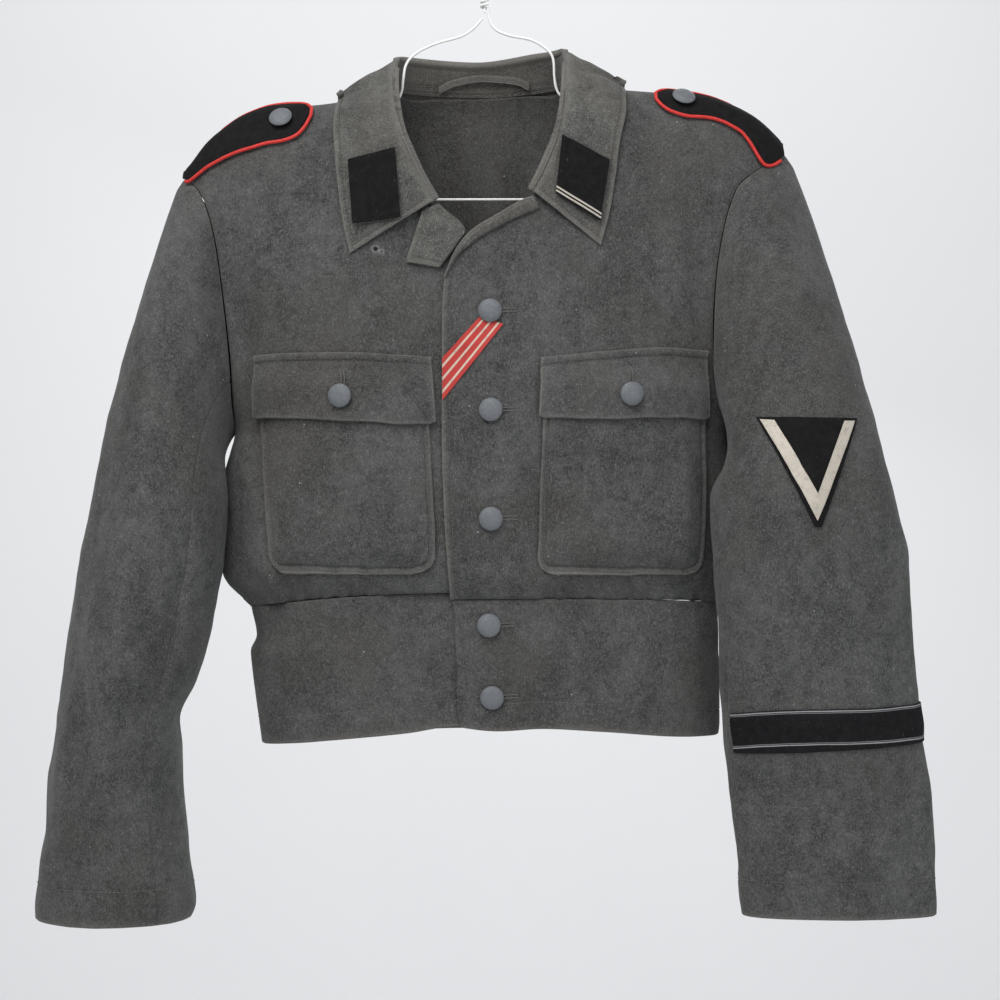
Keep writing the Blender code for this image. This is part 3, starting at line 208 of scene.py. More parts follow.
def cord_piece(name, path, width, finish, sides=4):
    """A round wire or cord with closed ends, as a plain mesh."""
    curve = bpy.data.curves.new(name, "CURVE")
    curve.dimensions = "3D"
    spline = curve.splines.new("POLY")
    spline.points.add(len(path) - 1)
    spline.points.foreach_set("co", np.c_[np.array(path) * MM, np.ones(len(path))].ravel())
    curve.bevel_depth, curve.bevel_resolution, curve.use_fill_caps = width / 2 * MM, sides, True
    drawn = bpy.data.objects.new(name + "_path", curve)
    bpy.context.scene.collection.objects.link(drawn)
    graph = bpy.context.evaluated_depsgraph_get()
    mesh = bpy.data.meshes.new_from_object(drawn.evaluated_get(graph))
    bpy.data.objects.remove(drawn)
    mesh.materials.clear()
    mesh.materials.append(finish)
    mesh.shade_smooth()
    made = bpy.data.objects.new(name, mesh)
    bpy.context.scene.collection.objects.link(made)
    return made


def stands_for(piece, node):
    """The piece takes the place of one solid of the model."""
    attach(piece, "root")
    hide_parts(node)


coating, coating_shader, draw = new_finish("hanger_coating", Roughness=0.32)
place = draw.node("ShaderNodeTexCoord", output=3)
specks = draw.noise(place, 350.0, 4.0, 0.7).between(0.66, 0.74)
white = draw.node("ShaderNodeRGB")
white.socket.default_value = (0.82, 0.82, 0.81, 1)
feed(
    coating_shader,
    Base_Color=white.mixed(specks, (0.45, 0.44, 0.42, 1)),
    Roughness=0.3 + specks * 0.3,
    Normal=draw.node("ShaderNodeBump", {}, {"Height": draw.noise(place, 500.0, 2.0), "Distance": 0.0001}),
)

HOOK_RADIUS, WIRE = 17.0, 2.2
arc = np.radians(np.linspace(-56, 205, 20))
bend = HOOK_RADIUS + WIRE / 2
hook = [(0, 0, -65), (0, 0, -46), (1.2, 0, -40.5), (5.0, 0, -36)]
hook += [(bend * math.cos(a), 0.0, bend * math.sin(a) - HOOK_RADIUS) for a in arc]
hanger_hook = cord_piece("wire_hook", through(hook, 5), WIRE, coating, 5)
stands_for(hanger_hook, "hanger_hook")


class Table:
    """Sizes under named columns, a row for each section, read smoothly between the rows."""

    def __init__(self, columns, *rows):
        self.names = columns.split()
        self.rows = np.array(sorted(rows), float)

    def column(self, name):
        return self.rows[:, self.names.index(name)]

    def at(self, place, name):
        keys, values = self.rows[:, 0], self.column(name)
        place = np.clip(np.asarray(place, float), keys[0], keys[-1])
        steps = np.diff(keys)
        slopes = np.diff(values) / steps
        both, total = slopes[:-1] * slopes[1:], slopes[:-1] + slopes[1:]
        inner = np.where(both > 0, 2 * both / np.where(both > 0, total, 1), 0)
        leans = np.concatenate([slopes[:1], inner, slopes[-1:]])
        row = np.clip(np.searchsorted(keys, place) - 1, 0, len(keys) - 2)
        t = (place - keys[row]) / steps[row]
        return (
            values[row] * (1 + 2 * t) * (1 - t) ** 2
            + values[row + 1] * t**2 * (3 - 2 * t)
            + leans[row] * steps[row] * t * (1 - t) ** 2
            - leans[row + 1] * steps[row] * t**2 * (1 - t)
        )


# The shoulder seam's height across the tunic. Within 70 of the middle it only sets the neck's
# fullness.
RIDGE = Table(
    "x z",
    (-256, -215), (-250, -204), (-241, -194), (-227, -176), (-213, -164), (-198, -154),
    (-172, -145), (-135, -142), (-104, -137), (-77, -129), (-61, -110), (0, -86),
    (54, -103), (70, -125), (103, -129), (129, -131), (155, -133), (180, -137),
    (202, -145), (223, -156), (236, -167), (250, -184), (256, -196),
)  # fmt: skip

right_rest = [(x, RIDGE.at(x, "z") - 6.0) for x in (-90, -110, -135, -160, -180, -195, -205)]
left_rest = [(x, RIDGE.at(x, "z") - 6.0) for x in (202, 190, 172, 150, 125, 100, 84)]
right_arm = [(-2, -70), (-9, -78), (-20, -85), (-41, -91), (-57, -99)]
right_arm += [(-65, -108), (-67.5, -120), (-69, -131), (-74, -138)]
left_arm = [(66, -135), (60, -129), (58, -118), (57, -104), (52, -96)]
left_arm += [(39, -88), (20, -84), (9, -79), (4.5, -72), (2.9, -65)]
right_turn = [(-212, -180), (-214, -195), (-211, -208), (-203, -216), (-190, -220)]
left_turn = [(190, -220), (203, -216), (211, -207), (214, -194), (212, -175), (209, -160)]
flat_frame = [(x, 0.0, z) for x, z in right_arm + right_rest + right_turn]
flat_frame += [(x, 0.0, z) for x, z in left_turn + left_rest + left_arm]
winding = [
    ((WIRE + 0.5) * math.cos(a), (WIRE + 0.5) * math.sin(a), -61.5 + 3.4 * a / (2 * math.pi))
    for a in np.linspace(0, 4.5 * math.pi, 25)
]
hanger_frame = cord_piece("wire_frame", through(flat_frame + winding, 5), WIRE, coating, 5)
stands_for(hanger_frame, "hanger_frame")

# ---- The back ----
# One plain panel of heavy felted wool, hung from the shoulder seams and gathered into the
# waistband. Its inside shows through the open neck.

WOOL, SEAM_GAP, SIDE_ROUND = 2.2, 0.12, 2.2
REACH = {"front": 70.0, "back": 60.0}
UNDERARM_Z = -413

# The tunic's sides at each height, and its depth to the front and the back.
BODY = Table(
    "z left right front back",
    (-556, -194, 193, 57, 44), (-548, -204, 197, 60, 46), (-539, -213, 203, 64, 48),
    (-527, -218.5, 208, 67, 49), (-501, -219.5, 210, 68, 50), (-470, -218.5, 208, 68, 50),
    (-430, -212.5, 204, 68, 50), (-413, -207, 205, 68, 50), (-390, -214, 211, 67, 49),
    (-338, -229, 224, 64, 48), (-275, -250, 243, 59, 46), (-221, -260, 256, 54, 45),
    (-178, -263, 260, 51, 45), (-128, -263, 260, 50, 46),
)  # fmt: skip
WAIST = {
    "right": Table("x z", (-194, -558), (-140, -551), (-107, -548), (-70, -546), (-29, -545), (24, -546)),
    "left": Table("x z", (-34, -550), (57, -549.5), (148, -551), (193, -555)),
    "back": Table("x z", (-194, -558), (0, -552), (193, -555)),
}
ARMHOLE = {
    ("left", "front"): Table(
        "z x", (-184, 250), (-188, 243), (-196, 229), (-217, 205), (-256, 193), (-289, 188),
        (-324, 186), (-358, 185.5), (-389, 191), (UNDERARM_Z, 205),
    ),
    ("left", "back"): Table(
        "z x", (-184, 250), (-195, 238), (-222, 222), (-275, 211), (-338, 205), (-388, 203),
        (UNDERARM_Z, 205),
    ),
    ("right", "front"): Table(
        "z x", (-204, -250), (-208, -243), (-217, -234), (-240, -224), (-267, -218), (-308, -212.5),
        (-338, -209.5), (-379, -207), (UNDERARM_Z, -207),
    ),
    ("right", "back"): Table(
        "z x", (-204, -250), (-213, -240), (-238, -226), (-287, -214), (-343, -208), (-388, -206),
        (UNDERARM_Z, -207),
    ),
}  # fmt: skip
BACK_ROWS = Table(
    "left right",
    (-558, -555), (-546, -545), (-534, -533), (-517, -517), (-480, -480), (UNDERARM_Z, UNDERARM_Z),
    (-370, -366), (-325, -318), (-288, -278), (-257, -243), (-234, -218), (-220, -203),
    (-211, -192.5), (-206, -186.5), (-204, -184),
)  # fmt: skip
BACK_GATHERS = Table(
    "foot lean rise width depth",
    (-154, -9, 34, 8, 4.5), (-124, 5, 26, 8, 4.0), (-94, -4, 38, 8, 4.5), (-62, 6, 28, 9, 4.0),
    (-30, -5, 36, 9, 3.5), (4, 4, 26, 9, 3.0), (36, -6, 34, 9, 3.5), (68, 5, 28, 9, 4.0),
    (98, -4, 38, 8, 4.5), (126, 6, 26, 8, 4.0), (152, 8, 34, 8, 4.5),
)  # fmt: skip

# Soft folds and troughs: both ends, half width, and height, below zero for a trough.
BACK_FOLDS = Table(
    "x1 z1 x2 z2 width height",
    (-150, -210, -175, -430, 15, 3.5), (-60, -170, -95, -420, 18, 3.0), (20, -180, 35, -440, 20, -3.0),
    (110, -190, 95, -430, 16, 3.0), (160, -215, 178, -430, 14, 3.0), (-120, -380, -165, -560, 12, 3.0),
    (120, -390, 168, -560, 12, 3.0), (-20, -400, 8, -560, 15, 2.5), (-185, -300, -120, -345, 9, -2.0),
    (186, -320, 130, -352, 8, -1.8), (-90, -470, -130, -552, 7, -2.2), (70, -480, 48, -553, 7, -2.0),
    (-150, -180, -60, -196, 11, 1.8), (60, -185, 160, -200, 12, 1.6), (-40, -300, 60, -322, 13, -1.2),
)  # fmt: skip


def unit(vectors):
    return vectors / np.linalg.norm(vectors, axis=-1, keepdims=True)


def points(x, y, z):
    return np.stack(np.broadcast_arrays(x, y, z), axis=-1).astype(float)


def rising(low, high, place):
    """0 below low, 1 above high, and a smooth rise between them."""
    t = np.clip((place - low) / (high - low), 0, 1)
    return t * t * (3 - 2 * t)


def torso_depth(x, z, face):
    """How far the cloth stands from the plane of its side and shoulder seams."""
    left, right = BODY.at(z, "left"), BODY.at(z, "right")
    across = np.clip(abs(2 * x - left - right) / (right - left), 0, 1)
    sides = (1 - across**SIDE_ROUND) ** (1 / SIDE_ROUND)
    drop = np.clip((RIDGE.at(x, "z") - z) / REACH[face], 0, 1)
    return BODY.at(z, face) * sides * np.sqrt(1 - (1 - drop) ** 2)


def fold_height(folds, x, z):
    total = 0.0
    for x1, z1, x2, z2, width, height in folds.rows:
        run = math.hypot(x2 - x1, z2 - z1)
        along = ((x - x1) * (x2 - x1) + (z - z1) * (z2 - z1)) / run**2
        off = ((x - x1) * (z2 - z1) - (z - z1) * (x2 - x1)) / run
        total = total + height * np.exp(-((off / width) ** 2)) * np.sin(np.pi * np.clip(along, 0, 1)) ** 0.7
    return total


def gather_height(gathers, x, above):
    """The troughs that the waist seam gathers in, fading out up the cloth."""
    total = 0.0
    for foot, lean, rise, width, depth in gathers.rows:
        fade = 1 - rising(0.0, rise, above)
        total = total - depth * fade * np.exp(-(((x - foot - lean * above / rise) / width) ** 2))
    return total


def uneven(x, z, size, seed):
    """The small lifts and hollows of cloth that has been worn, each about so wide."""
    draw_lots = np.random.default_rng(seed)
    total = 0.0
    for _ in range(14):
        turn, shift = draw_lots.uniform(0, 2 * np.pi, 2)
        wave = 2 * np.pi / (size * draw_lots.uniform(0.8, 2.2))
        total = total + np.sin((x * np.cos(turn) + z * np.sin(turn)) * wave + shift)
    return total / 4


def back_y(x, z):
    depth = torso_depth(x, z, "back")
    ripple = fold_height(BACK_FOLDS, x, z) + gather_height(BACK_GATHERS, x, z - WAIST["back"].at(x, "z"))
    ripple = ripple + 0.5 * uneven(x, z, 60, 3) + 0.25 * uneven(x, z, 22, 4)
    return SEAM_GAP / 2 + depth + ripple * rising(2.0, 22.0, depth)


def shares(length, fine, coarse, near):
    """Places from 0 to 1 along a length: close together near both ends, wider between them."""
    places = [0.0]
    while places[-1] < length / 2:
        ease = rising(near * 0.5, near * 1.6, places[-1])
        places.append(places[-1] + fine + (coarse - fine) * ease)
    half = np.array(places) * (length / 2) / places[-1]
    return np.concatenate([half, length - half[-2::-1]]) / length


def cloth_places(start, end, bottom, top, rows, columns):
    """Places in x and z on rows of cloth, each between its two ends, bowed as both seams are."""
    start, end = np.asarray(start, float), np.asarray(end, float)
    keys = np.cumsum(np.r_[0, np.linalg.norm(np.diff(start, axis=0) + np.diff(end, axis=0), axis=1)])
    keys /= keys[-1]
    ends = []
    for side in (start, end):
        marks = [Table("t v", *zip(keys, side[:, i])) for i in (0, 1)]
        ends.append(np.stack([mark.at(rows, "v") for mark in marks], axis=-1))
    line = ends[0][:, None] + (ends[1] - ends[0])[:, None] * columns[None, :, None]
    height = (ends[0][:, 1] - ends[0][0, 1]) / (ends[0][-1, 1] - ends[0][0, 1])
    bow_low = bottom(line[0, :, 0]) - line[0, :, 1]
    bow_high = top(line[-1, :, 0]) - line[-1, :, 1]
    z = line[:, :, 1] + np.outer(1 - height, bow_low) + np.outer(height, bow_high)
    return line[:, :, 0], z


def grid_normals(grid, towards):
    normals = unit(np.cross(np.gradient(grid, axis=0), np.gradient(grid, axis=1)))
    middle = normals[len(grid) // 2, grid.shape[1] // 2]
    return normals if middle @ np.array(towards, float) > 0 else -normals


def reaches(grid):
    """How far each place is from the grid's first and last row and first and last column."""
    found = {}
    for axis, (low, high) in enumerate((("first_row", "last_row"), ("first_column", "last_column"))):
        steps = np.linalg.norm(np.diff(grid, axis=axis), axis=2)
        run = np.cumsum(steps, axis=axis)
        pad = [(0, 0), (0, 0)]
        pad[axis] = (1, 0)
        run = np.pad(run, pad)
        found[low], found[high] = run, np.take(run, [-1], axis=axis) - run
    return found


def rounded(reach, radius):
    """How far a round edge falls away, at a distance in from it."""
    inside = np.clip(1 - reach / radius, 0, 1)
    return radius * (1 - np.sqrt(1 - inside**2))


def groove(reach, inset, depth, width=0.9):
    return depth * np.exp(-(((reach - inset) / width) ** 2))


def cloth_piece(name, grid, towards, finish, thick=WOOL, dip=0.0, worn=None, sewn=()):
    """A thin closed wall of cloth under a grid of places. Its edges are round but for those that
    are sewn, dip says how far the face is pressed in, and worn, 0 to 1, where it is rubbed pale."""
    normals = grid_normals(grid, towards)
    reach = reaches(grid)
    nearest = np.minimum.reduce(list(reach.values()))
    free = [reach[edge] for edge in reach if edge not in sewn] or [nearest + 99]
    turned = rounded(np.minimum.reduce(free), thick * 0.55)[..., None] * 0.98
    outer = grid - normals * (turned + np.broadcast_to(dip, nearest.shape)[..., None])
    inner = grid - normals * (thick - turned)
    rows, columns = nearest.shape
    index = np.arange(rows * columns).reshape(rows, columns)
    face = np.stack([index[:-1, :-1], index[:-1, 1:], index[1:, 1:], index[1:, :-1]], axis=-1).reshape(-1, 4)
    loop = np.concatenate([index[0, :-1], index[:-1, -1], index[-1, :0:-1], index[:0:-1, 0]])
    rim = np.stack([np.roll(loop, -1), loop, loop + index.size, np.roll(loop, -1) + index.size], axis=-1)
    quads = np.concatenate([face, face[:, ::-1] + index.size, rim])
    places = np.concatenate([outer.reshape(-1, 3), inner.reshape(-1, 3)])
    a, b, c = places[quads[:, 0]], places[quads[:, 1]], places[quads[:, 2]]
    d = places[quads[:, 3]]
    volume = np.sum(a * np.cross(b, c)) + np.sum(a * np.cross(c, d))
    if volume < 0:
        quads = quads[:, ::-1]
    made = quad_mesh(name, places, quads, finish)
    rubbed = np.exp(-nearest / 2.2) if worn is None else worn
    rubbed = np.broadcast_to(rubbed, nearest.shape).ravel()
    marks = made.data.attributes.new("worn", "FLOAT", "POINT")
    marks.data.foreach_set("value", np.r_[rubbed, rubbed].astype(np.float32))
    cut = np.stack([reach["first_column"], reach["first_row"]], axis=-1).reshape(-1, 2) * MM
    cut = np.concatenate([cut, cut]).astype(np.float32)
    layer = made.data.uv_layers.new(name="cut")
    corners = np.empty(len(made.data.loops), np.int32)
    made.data.loops.foreach_get("vertex_index", corners)
    layer.data.foreach_set("uv", cut[corners].ravel())
    return made


def wool_finish(name, dark, light, warm, holes=()):
    """Heavy grey felted wool: dark and pale fibres mixed, a brushed nap, broad faded and soiled
    patches, a few pale nubs, rubbed edges, and small moth holes at the places given, each a pale
    frayed ring round a dark middle of painted shade, the shadowed inside seen through the hole."""
    finish, shader, draw = new_finish(
        name, Roughness=0.95, Sheen_Weight=0.10, Sheen_Roughness=0.5, Specular_IOR_Level=0.12
    )
    place = draw.node("ShaderNodeTexCoord", output=3)
    nap = draw.node("ShaderNodeMapping", {}, {"Vector": place, "Scale": (1500.0, 1500.0, 380.0)})
    strands = draw.node("ShaderNodeMapping", {}, {"Vector": place, "Scale": (380.0, 380.0, 1500.0)})
    fading = draw.node("ShaderNodeMapping", {}, {"Vector": place, "Scale": (31.0, 31.0, 15.0)})
    mottle = draw.noise(place, 120.0, 5.0, 0.68)
    felt = draw.noise(place, 800.0, 3.0, 0.6)
    brushed = draw.noise(nap, 1.0, 2.0, 0.55)
    crossed = draw.noise(strands, 1.0, 2.0, 0.55)
    clouds = draw.noise(fading, 1.0, 5.0, 0.62)
    soil = draw.noise(place, 9.0, 4.0, 0.6)
    tone = mottle * 0.36 + felt * 0.22 + brushed * 0.24 + crossed * 0.18
    base = draw.node("ShaderNodeRGB")
    base.socket.default_value = (*dark, 1)
    colour = base.mixed(tone.between(0.38, 0.64), (*light, 1))
    colour = colour.mixed(clouds.between(0.44, 0.70) * 0.30, tuple(value * 1.22 for value in light) + (1,))
    colour = colour.mixed(soil.between(0.44, 0.66) * 0.5, (*warm, 1))
    colour = colour.mixed((1 - clouds.between(0.30, 0.52)) * 0.34, (*dark, 1))
    hairs = brushed.between(0.52, 0.76) * 0.34 + crossed.between(0.54, 0.78) * 0.26
    pale = tuple(min(1.0, value * 2.0 + 0.02) for value in light)
    colour = colour.mixed(hairs, (*pale, 1))
    nubs = draw.node("ShaderNodeTexVoronoi", {}, {"Vector": place, "Scale": 90.0})
    few = draw.noise(place, 70.0, 0.0).between(0.62, 0.68)
    colour = colour.mixed((1 - nubs.between(0.03, 0.08)) * few * 0.8, (0.34, 0.33, 0.31, 1))
    rubbed = draw.node("ShaderNodeAttribute", {"attribute_name": "worn"}, output=2)
    rubbed = rubbed * felt.between(0.15, 0.5)
    colour = colour.mixed(rubbed * 0.6, (0.205, 0.198, 0.180, 1))
    for x, y, z, size in holes:
        middle = (x * MM, y * MM, z * MM)
        away = draw.node("ShaderNodeVectorMath", {"operation": "DISTANCE"}, {0: place, 1: middle}, 1)
        ragged = away * 1000.0 + (felt - 0.5) * 3.0
        colour = colour.mixed((1 - ragged.between(size * 1.1, size * 1.9)) * 0.45, (*pale, 1))
        # The dark middle of each hole is painted shade, standing for the shadowed inside of the tunic seen
        # through it.
        colour = colour.mixed(1 - ragged.between(size * 0.7, size), (0.012, 0.011, 0.010, 1))
    height = felt * 0.5 + brushed * 0.35 + crossed * 0.25 + mottle * 0.7
    bump = draw.node("ShaderNodeBump", {}, {"Height": height, "Distance": 0.0013, "Strength": 0.65})
    feed(shader, Base_Color=colour, Roughness=0.97 - rubbed * 0.12, Normal=bump)
    return finish


wool = wool_finish(
    "field_wool", (0.023, 0.0235, 0.0235), (0.100, 0.101, 0.099), (0.050, 0.045, 0.041),
    holes=(
        (56.0, -78.0, -470.5, 2.2), (158.0, -64.0, -483.0, 2.4), (165.0, -60.0, -489.0, 1.4),
        (-87.0, -57.0, -268.5, 2.4), (-82.0, -58.0, -270.5, 1.8),
    ),
)  # fmt: skip

back_rows, back_columns = shares(420, 1.3, 3.0, 16), shares(460, 1.3, 2.6, 12)
ends = {}
for side, side_name in (("right", "left"), ("left", "right")):
    arm = ARMHOLE[side, "back"]
    heights = BACK_ROWS.column(side_name)
    ends[side] = [(arm.at(z, "x") if z > UNDERARM_Z else BODY.at(z, side_name), z) for z in heights]
neckline = Table(
    "x z", (-77, -129), (-64, -131), (-41, -129.5), (0, -128.5), (41, -126.5), (60, -127.5), (70, -125)
)


def back_top(x):
    return np.where((x > -77) & (x < 70), neckline.at(x, "z"), RIDGE.at(x, "z"))


x, z = cloth_places(
    ends["right"], ends["left"], lambda x: WAIST["back"].at(x, "z"), back_top, back_rows, back_columns
)
grid = points(x, back_y(x, z), z)
reach = reaches(grid)
dip = 1.0 * rising(3.0, 0.0, reach["first_row"])
dip = dip + 0.7 * rising(3.0, 0.0, np.minimum(reach["first_column"], reach["last_column"]))
back = cloth_piece(
    "back_panel", grid, (0, 1, 0), wool, dip=dip, worn=0.0,
    sewn=("first_row", "last_row", "first_column", "last_column"),
)  # fmt: skip
stands_for(back, "back")

# ---- The two fronts ----
# The same wool, the wearer's left front lapped 53 mm over the right. Each is gathered into the
# waistband beside the pockets, and its open neck is turned and stitched 6 mm in from the edge.

LAP_LIFT, LAP_EDGE, LAP_EASE = 3.4, 24.0, 26.0
FRONT_EDGE = {
    "right": Table(
        "z x", (-546, 20), (-300, 20), (-288, 18), (-272, 5), (-256, -14), (-242, -29), (-229, -43),
        (-208, -56), (-188, -65), (-170, -70), (-150, -75), (-129, -77),
    ),
    "left": Table(
        "z x", (-550, -27), (-470, -32), (-410, -33.5), (-310, -33.5), (-292, -31.5), (-273, -24),
        (-257, -11), (-245, 7), (-236, 22), (-228, 36), (-220, 43), (-204, 51), (-186, 59),
        (-164, 66), (-142, 69), (-125, 70),
    ),
}  # fmt: skip
FRONT_ROWS = {
    "right": Table(
        "edge side", (-546, -558), (-540, -546), (-531, -534), (-516, -517), (-490, -490),
        (-455, -456), (-410, UNDERARM_Z), (-365, -370), (-325, -330), (-297, -300), (-280, -280),
        (-264, -264), (-249, -252), (-236, -242), (-221, -232), (-200, -221), (-177, -214),
        (-153, -209), (-137, -205.5), (-129, -204),
    ),
    "left": Table(
        "edge side", (-550, -555), (-542, -545), (-531, -533), (-516, -517), (-490, -490),
        (-455, -456), (-410, UNDERARM_Z), (-365, -370), (-325, -325), (-294, -290), (-275, -265),
        (-259, -248), (-246, -233), (-236, -223), (-223, -211), (-200, -202), (-177, -195),
        (-152, -189.5), (-134, -185.5), (-125, -184),
    ),
}  # fmt: skip
GATHERS = Table(
    "foot lean rise width depth",
    (-158, -14, 36, 6, 4.5), (-143, -6, 26, 5, 5.0), (-133, 2, 20, 4, 4.0), (-121, 3, 30, 5, 5.0),
    (-108, -2, 24, 5, 4.5), (-97, 6, 34, 5, 4.5), (-86, 4, 22, 4, 3.5), (52, 3, 24, 5, 4.0),
    (70, -5, 20, 5, 3.5), (84, 3, 26, 5, 3.5), (117, -4, 30, 6, 4.5), (131, 5, 22, 5, 4.0),
    (161, -8, 34, 6, 5.0), (174, -5, 28, 5, 4.0),
)  # fmt: skip
FRONT_FOLDS = Table(
    "x1 z1 x2 z2 width height",
    (-190, -500, -150, -580, 9, 4.0), (-178, -470, -172, -575, 8, 3.0),
    (-150, -215, -195, -400, 16, 3.5), (-205, -260, -175, -470, 12, -3.0),
    (-60, -300, -48, -480, 14, 2.5), (58, -300, 20, -440, 14, 2.0),
    (155, -400, 157, -585, 7, 2.5), (172, -200, 178, -420, 12, -3.0),
    (140, -190, 176, -370, 14, 2.5), (90, -475, 150, -585, 12, 2.5),
    (-196, -215, -120, -250, 10, -1.6), (190, -215, 110, -262, 11, -1.7),
    (-80, -270, -160, -330, 15, 1.5), (60, -250, 150, -320, 16, 1.5),
    (-38, -420, -30, -545, 8, 1.6), (36, -450, 28, -548, 7, -1.5), (-200, -440, -196, -540, 6, -2.0),
)  # fmt: skip


def front_y(x, z, lap=0.0):
    depth = torso_depth(x, z, "front")
    ripple = fold_height(FRONT_FOLDS, x, z) + 1.4 * gather_height(GATHERS, x, z - WAIST["left"].at(x, "z"))
    ripple = ripple + 0.45 * uneven(x, z, 55, 1) + 0.22 * uneven(x, z, 20, 2)
    return -(SEAM_GAP / 2 + depth + ripple * rising(2.0, 22.0, depth) + lap)


def lap_lift(x):
    """The over front's height on the under front, gone where the under front ends."""
    return LAP_LIFT * (1 - rising(LAP_EDGE, LAP_EDGE + LAP_EASE, x))


def left_front(x, z):
    return points(x, front_y(x, z, lap_lift(x)), z)


def right_front(x, z):
    return points(x, front_y(x, z), z)


# Stitches, sewn along any path: each is one short twist of thread, sunk a little in the cloth.
stitcher = bpy.data.node_groups.new("stitch_line", "GeometryNodeTree")
for title, kind, direction in (
    ("Path", "NodeSocketGeometry", "INPUT"),
    ("Pitch", "NodeSocketFloat", "INPUT"),
    ("Stitch length", "NodeSocketFloat", "INPUT"),
    ("Thread width", "NodeSocketFloat", "INPUT"),
    ("Thread", "NodeSocketMaterial", "INPUT"),
    ("Stitches", "NodeSocketGeometry", "OUTPUT"),
):
    stitcher.interface.new_socket(title, in_out=direction, socket_type=kind)
sewn = Shade(stitcher)
inputs = stitcher.nodes.new("NodeGroupInput")
path, pitch, long, wide, thread = (Shade(stitcher, socket) for socket in inputs.outputs[:5])
curve = sewn.node("GeometryNodeMeshToCurve", {}, {"Mesh": path})
spots = sewn.node("GeometryNodeCurveToPoints", {"mode": "LENGTH"}, {"Curve": curve, "Length": pitch})
turned = Shade(stitcher, spots.socket.node.outputs["Rotation"])
twist = sewn.node("GeometryNodeMeshUVSphere", {}, {"Segments": 6, "Rings": 5, "Radius": 0.5})
size = sewn.node("ShaderNodeCombineXYZ", {}, {"X": wide, "Y": wide, "Z": long})
copies = sewn.node(
    "GeometryNodeInstanceOnPoints", {},
    {"Points": spots, "Instance": twist, "Rotation": turned, "Scale": size},
)
real = sewn.node("GeometryNodeRealizeInstances", {}, {"Geometry": copies})
smooth = sewn.node("GeometryNodeSetShadeSmooth", {}, {0: real})
painted = sewn.node("GeometryNodeSetMaterial", {}, {"Geometry": smooth, "Material": thread})
outputs = stitcher.nodes.new("NodeGroupOutput")
stitcher.links.new(painted.socket, outputs.inputs[0])

grey_thread, thread_shader, draw = new_finish("grey_thread", Roughness=0.8)
place = draw.node("ShaderNodeTexCoord", output=3)
strand = draw.noise(place, 2200.0, 2.0)
tone = draw.node("ShaderNodeRGB")
tone.socket.default_value = (0.060, 0.060, 0.056, 1)
feed(
    thread_shader,
    Base_Color=tone.mixed(strand.between(0.35, 0.65), (0.15, 0.148, 0.138, 1)),
    Normal=draw.node("ShaderNodeBump", {}, {"Height": strand, "Distance": 0.0002}),
)


def stitches(name, paths, thread=grey_thread, pitch=3.2, long=2.5, wide=0.75):
    """A run of stitches along each path, made by the stitch tree and kept as a plain mesh."""
    joined = np.concatenate(paths)
    ends = np.cumsum([len(path) for path in paths])
    starts = np.r_[0, ends[:-1]]
    links = [(i, i + 1) for start, end in zip(starts, ends) for i in range(start, end - 1)]
    mesh = bpy.data.meshes.new(name + "_path")
    mesh.from_pydata([tuple(place) for place in joined * MM], links, [])
    drawn = bpy.data.objects.new(name + "_path", mesh)
    bpy.context.scene.collection.objects.link(drawn)
    worker = drawn.modifiers.new("stitches", "NODES")
    worker.node_group = stitcher
    values = {"Pitch": pitch * MM, "Stitch length": long * MM, "Thread width": wide * MM, "Thread": thread}
    for socket in stitcher.interface.items_tree:
        if socket.name in values:
            worker[socket.identifier] = values[socket.name]
    drawn.update_tag()
    graph = bpy.context.evaluated_depsgraph_get()
    plain = bpy.data.meshes.new_from_object(drawn.evaluated_get(graph))
    bpy.data.objects.remove(drawn)
    made = bpy.data.objects.new(name, plain)
    bpy.context.scene.collection.objects.link(made)
    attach(made, "root")
    return made


def inset_line(grid, edge, inset, lift=0.0, first=0.0, last=1.0):
    """The line on a grid that runs so far in from one of its edges, between two shares of it."""
    reach = reaches(grid)[edge]
    if "column" in edge:
        grid, reach = grid.transpose(1, 0, 2), reach.T
    if edge.startswith("last"):
        grid, reach = grid[::-1], reach[::-1]
    count = grid.shape[1]
    chosen = range(int(first * count), max(int(last * count), 2))
    line = [[np.interp(inset, reach[:, i], grid[:, i, k]) for k in range(3)] for i in chosen]
    return np.array(line) + np.array([0, -lift, 0])


front_pieces = {}
for side, piece_name, surface, wide in (
    ("right", "front_under", right_front, 0.245), ("left", "front_over", left_front, 0.26),
):  # fmt: skip
    edge_table, rows_table, arm = FRONT_EDGE[side], FRONT_ROWS[side], ARMHOLE[side, "front"]
    side_name = "right" if side == "left" else "left"
    start = [(edge_table.at(z, "x"), z) for z in rows_table.column("edge")]
    end = [
        (arm.at(z, "x") if z > UNDERARM_Z else BODY.at(z, side_name), z)
        for z in rows_table.column("side")
    ]
    x, z = cloth_places(
        start, end, lambda x: WAIST[side].at(x, "z"), lambda x: RIDGE.at(x, "z"),
        shares(430, 1.2, 2.6, 20), shares(240, 0.7, 2.2, 9),
    )  # fmt: skip
    grid = surface(x, z)
    reach = reaches(grid)
    dip = 1.0 * rising(3.0, 0.0, reach["first_row"]) + groove(reach["first_column"], 6.0, 0.75)
    dip = dip + 0.8 * rising(3.5, 0.0, reach["last_column"])
    if side == "left":
        dip = dip + 0.6 * np.exp(-(((z + 397.0) / 0.9) ** 2)) * rising(-12.0, -17.0, x)
    worn = np.exp(-reach["first_column"] / 1.6) + 0.3 * np.exp(-reach["last_column"] / 2.0)
    panel = cloth_piece(
        piece_name, grid, (0, -1, 0), wool, dip=dip, worn=worn, sewn=("first_row", "last_row", "last_column")
    )
    stands_for(panel, f"front_{side}")
    seam = stitches(f"{piece_name}_stitching", [inset_line(grid, "first_column", 6.0, -0.25, 0.02, 0.93)])
    wide * 0.45 * 0.86
    front_pieces[side] = panel

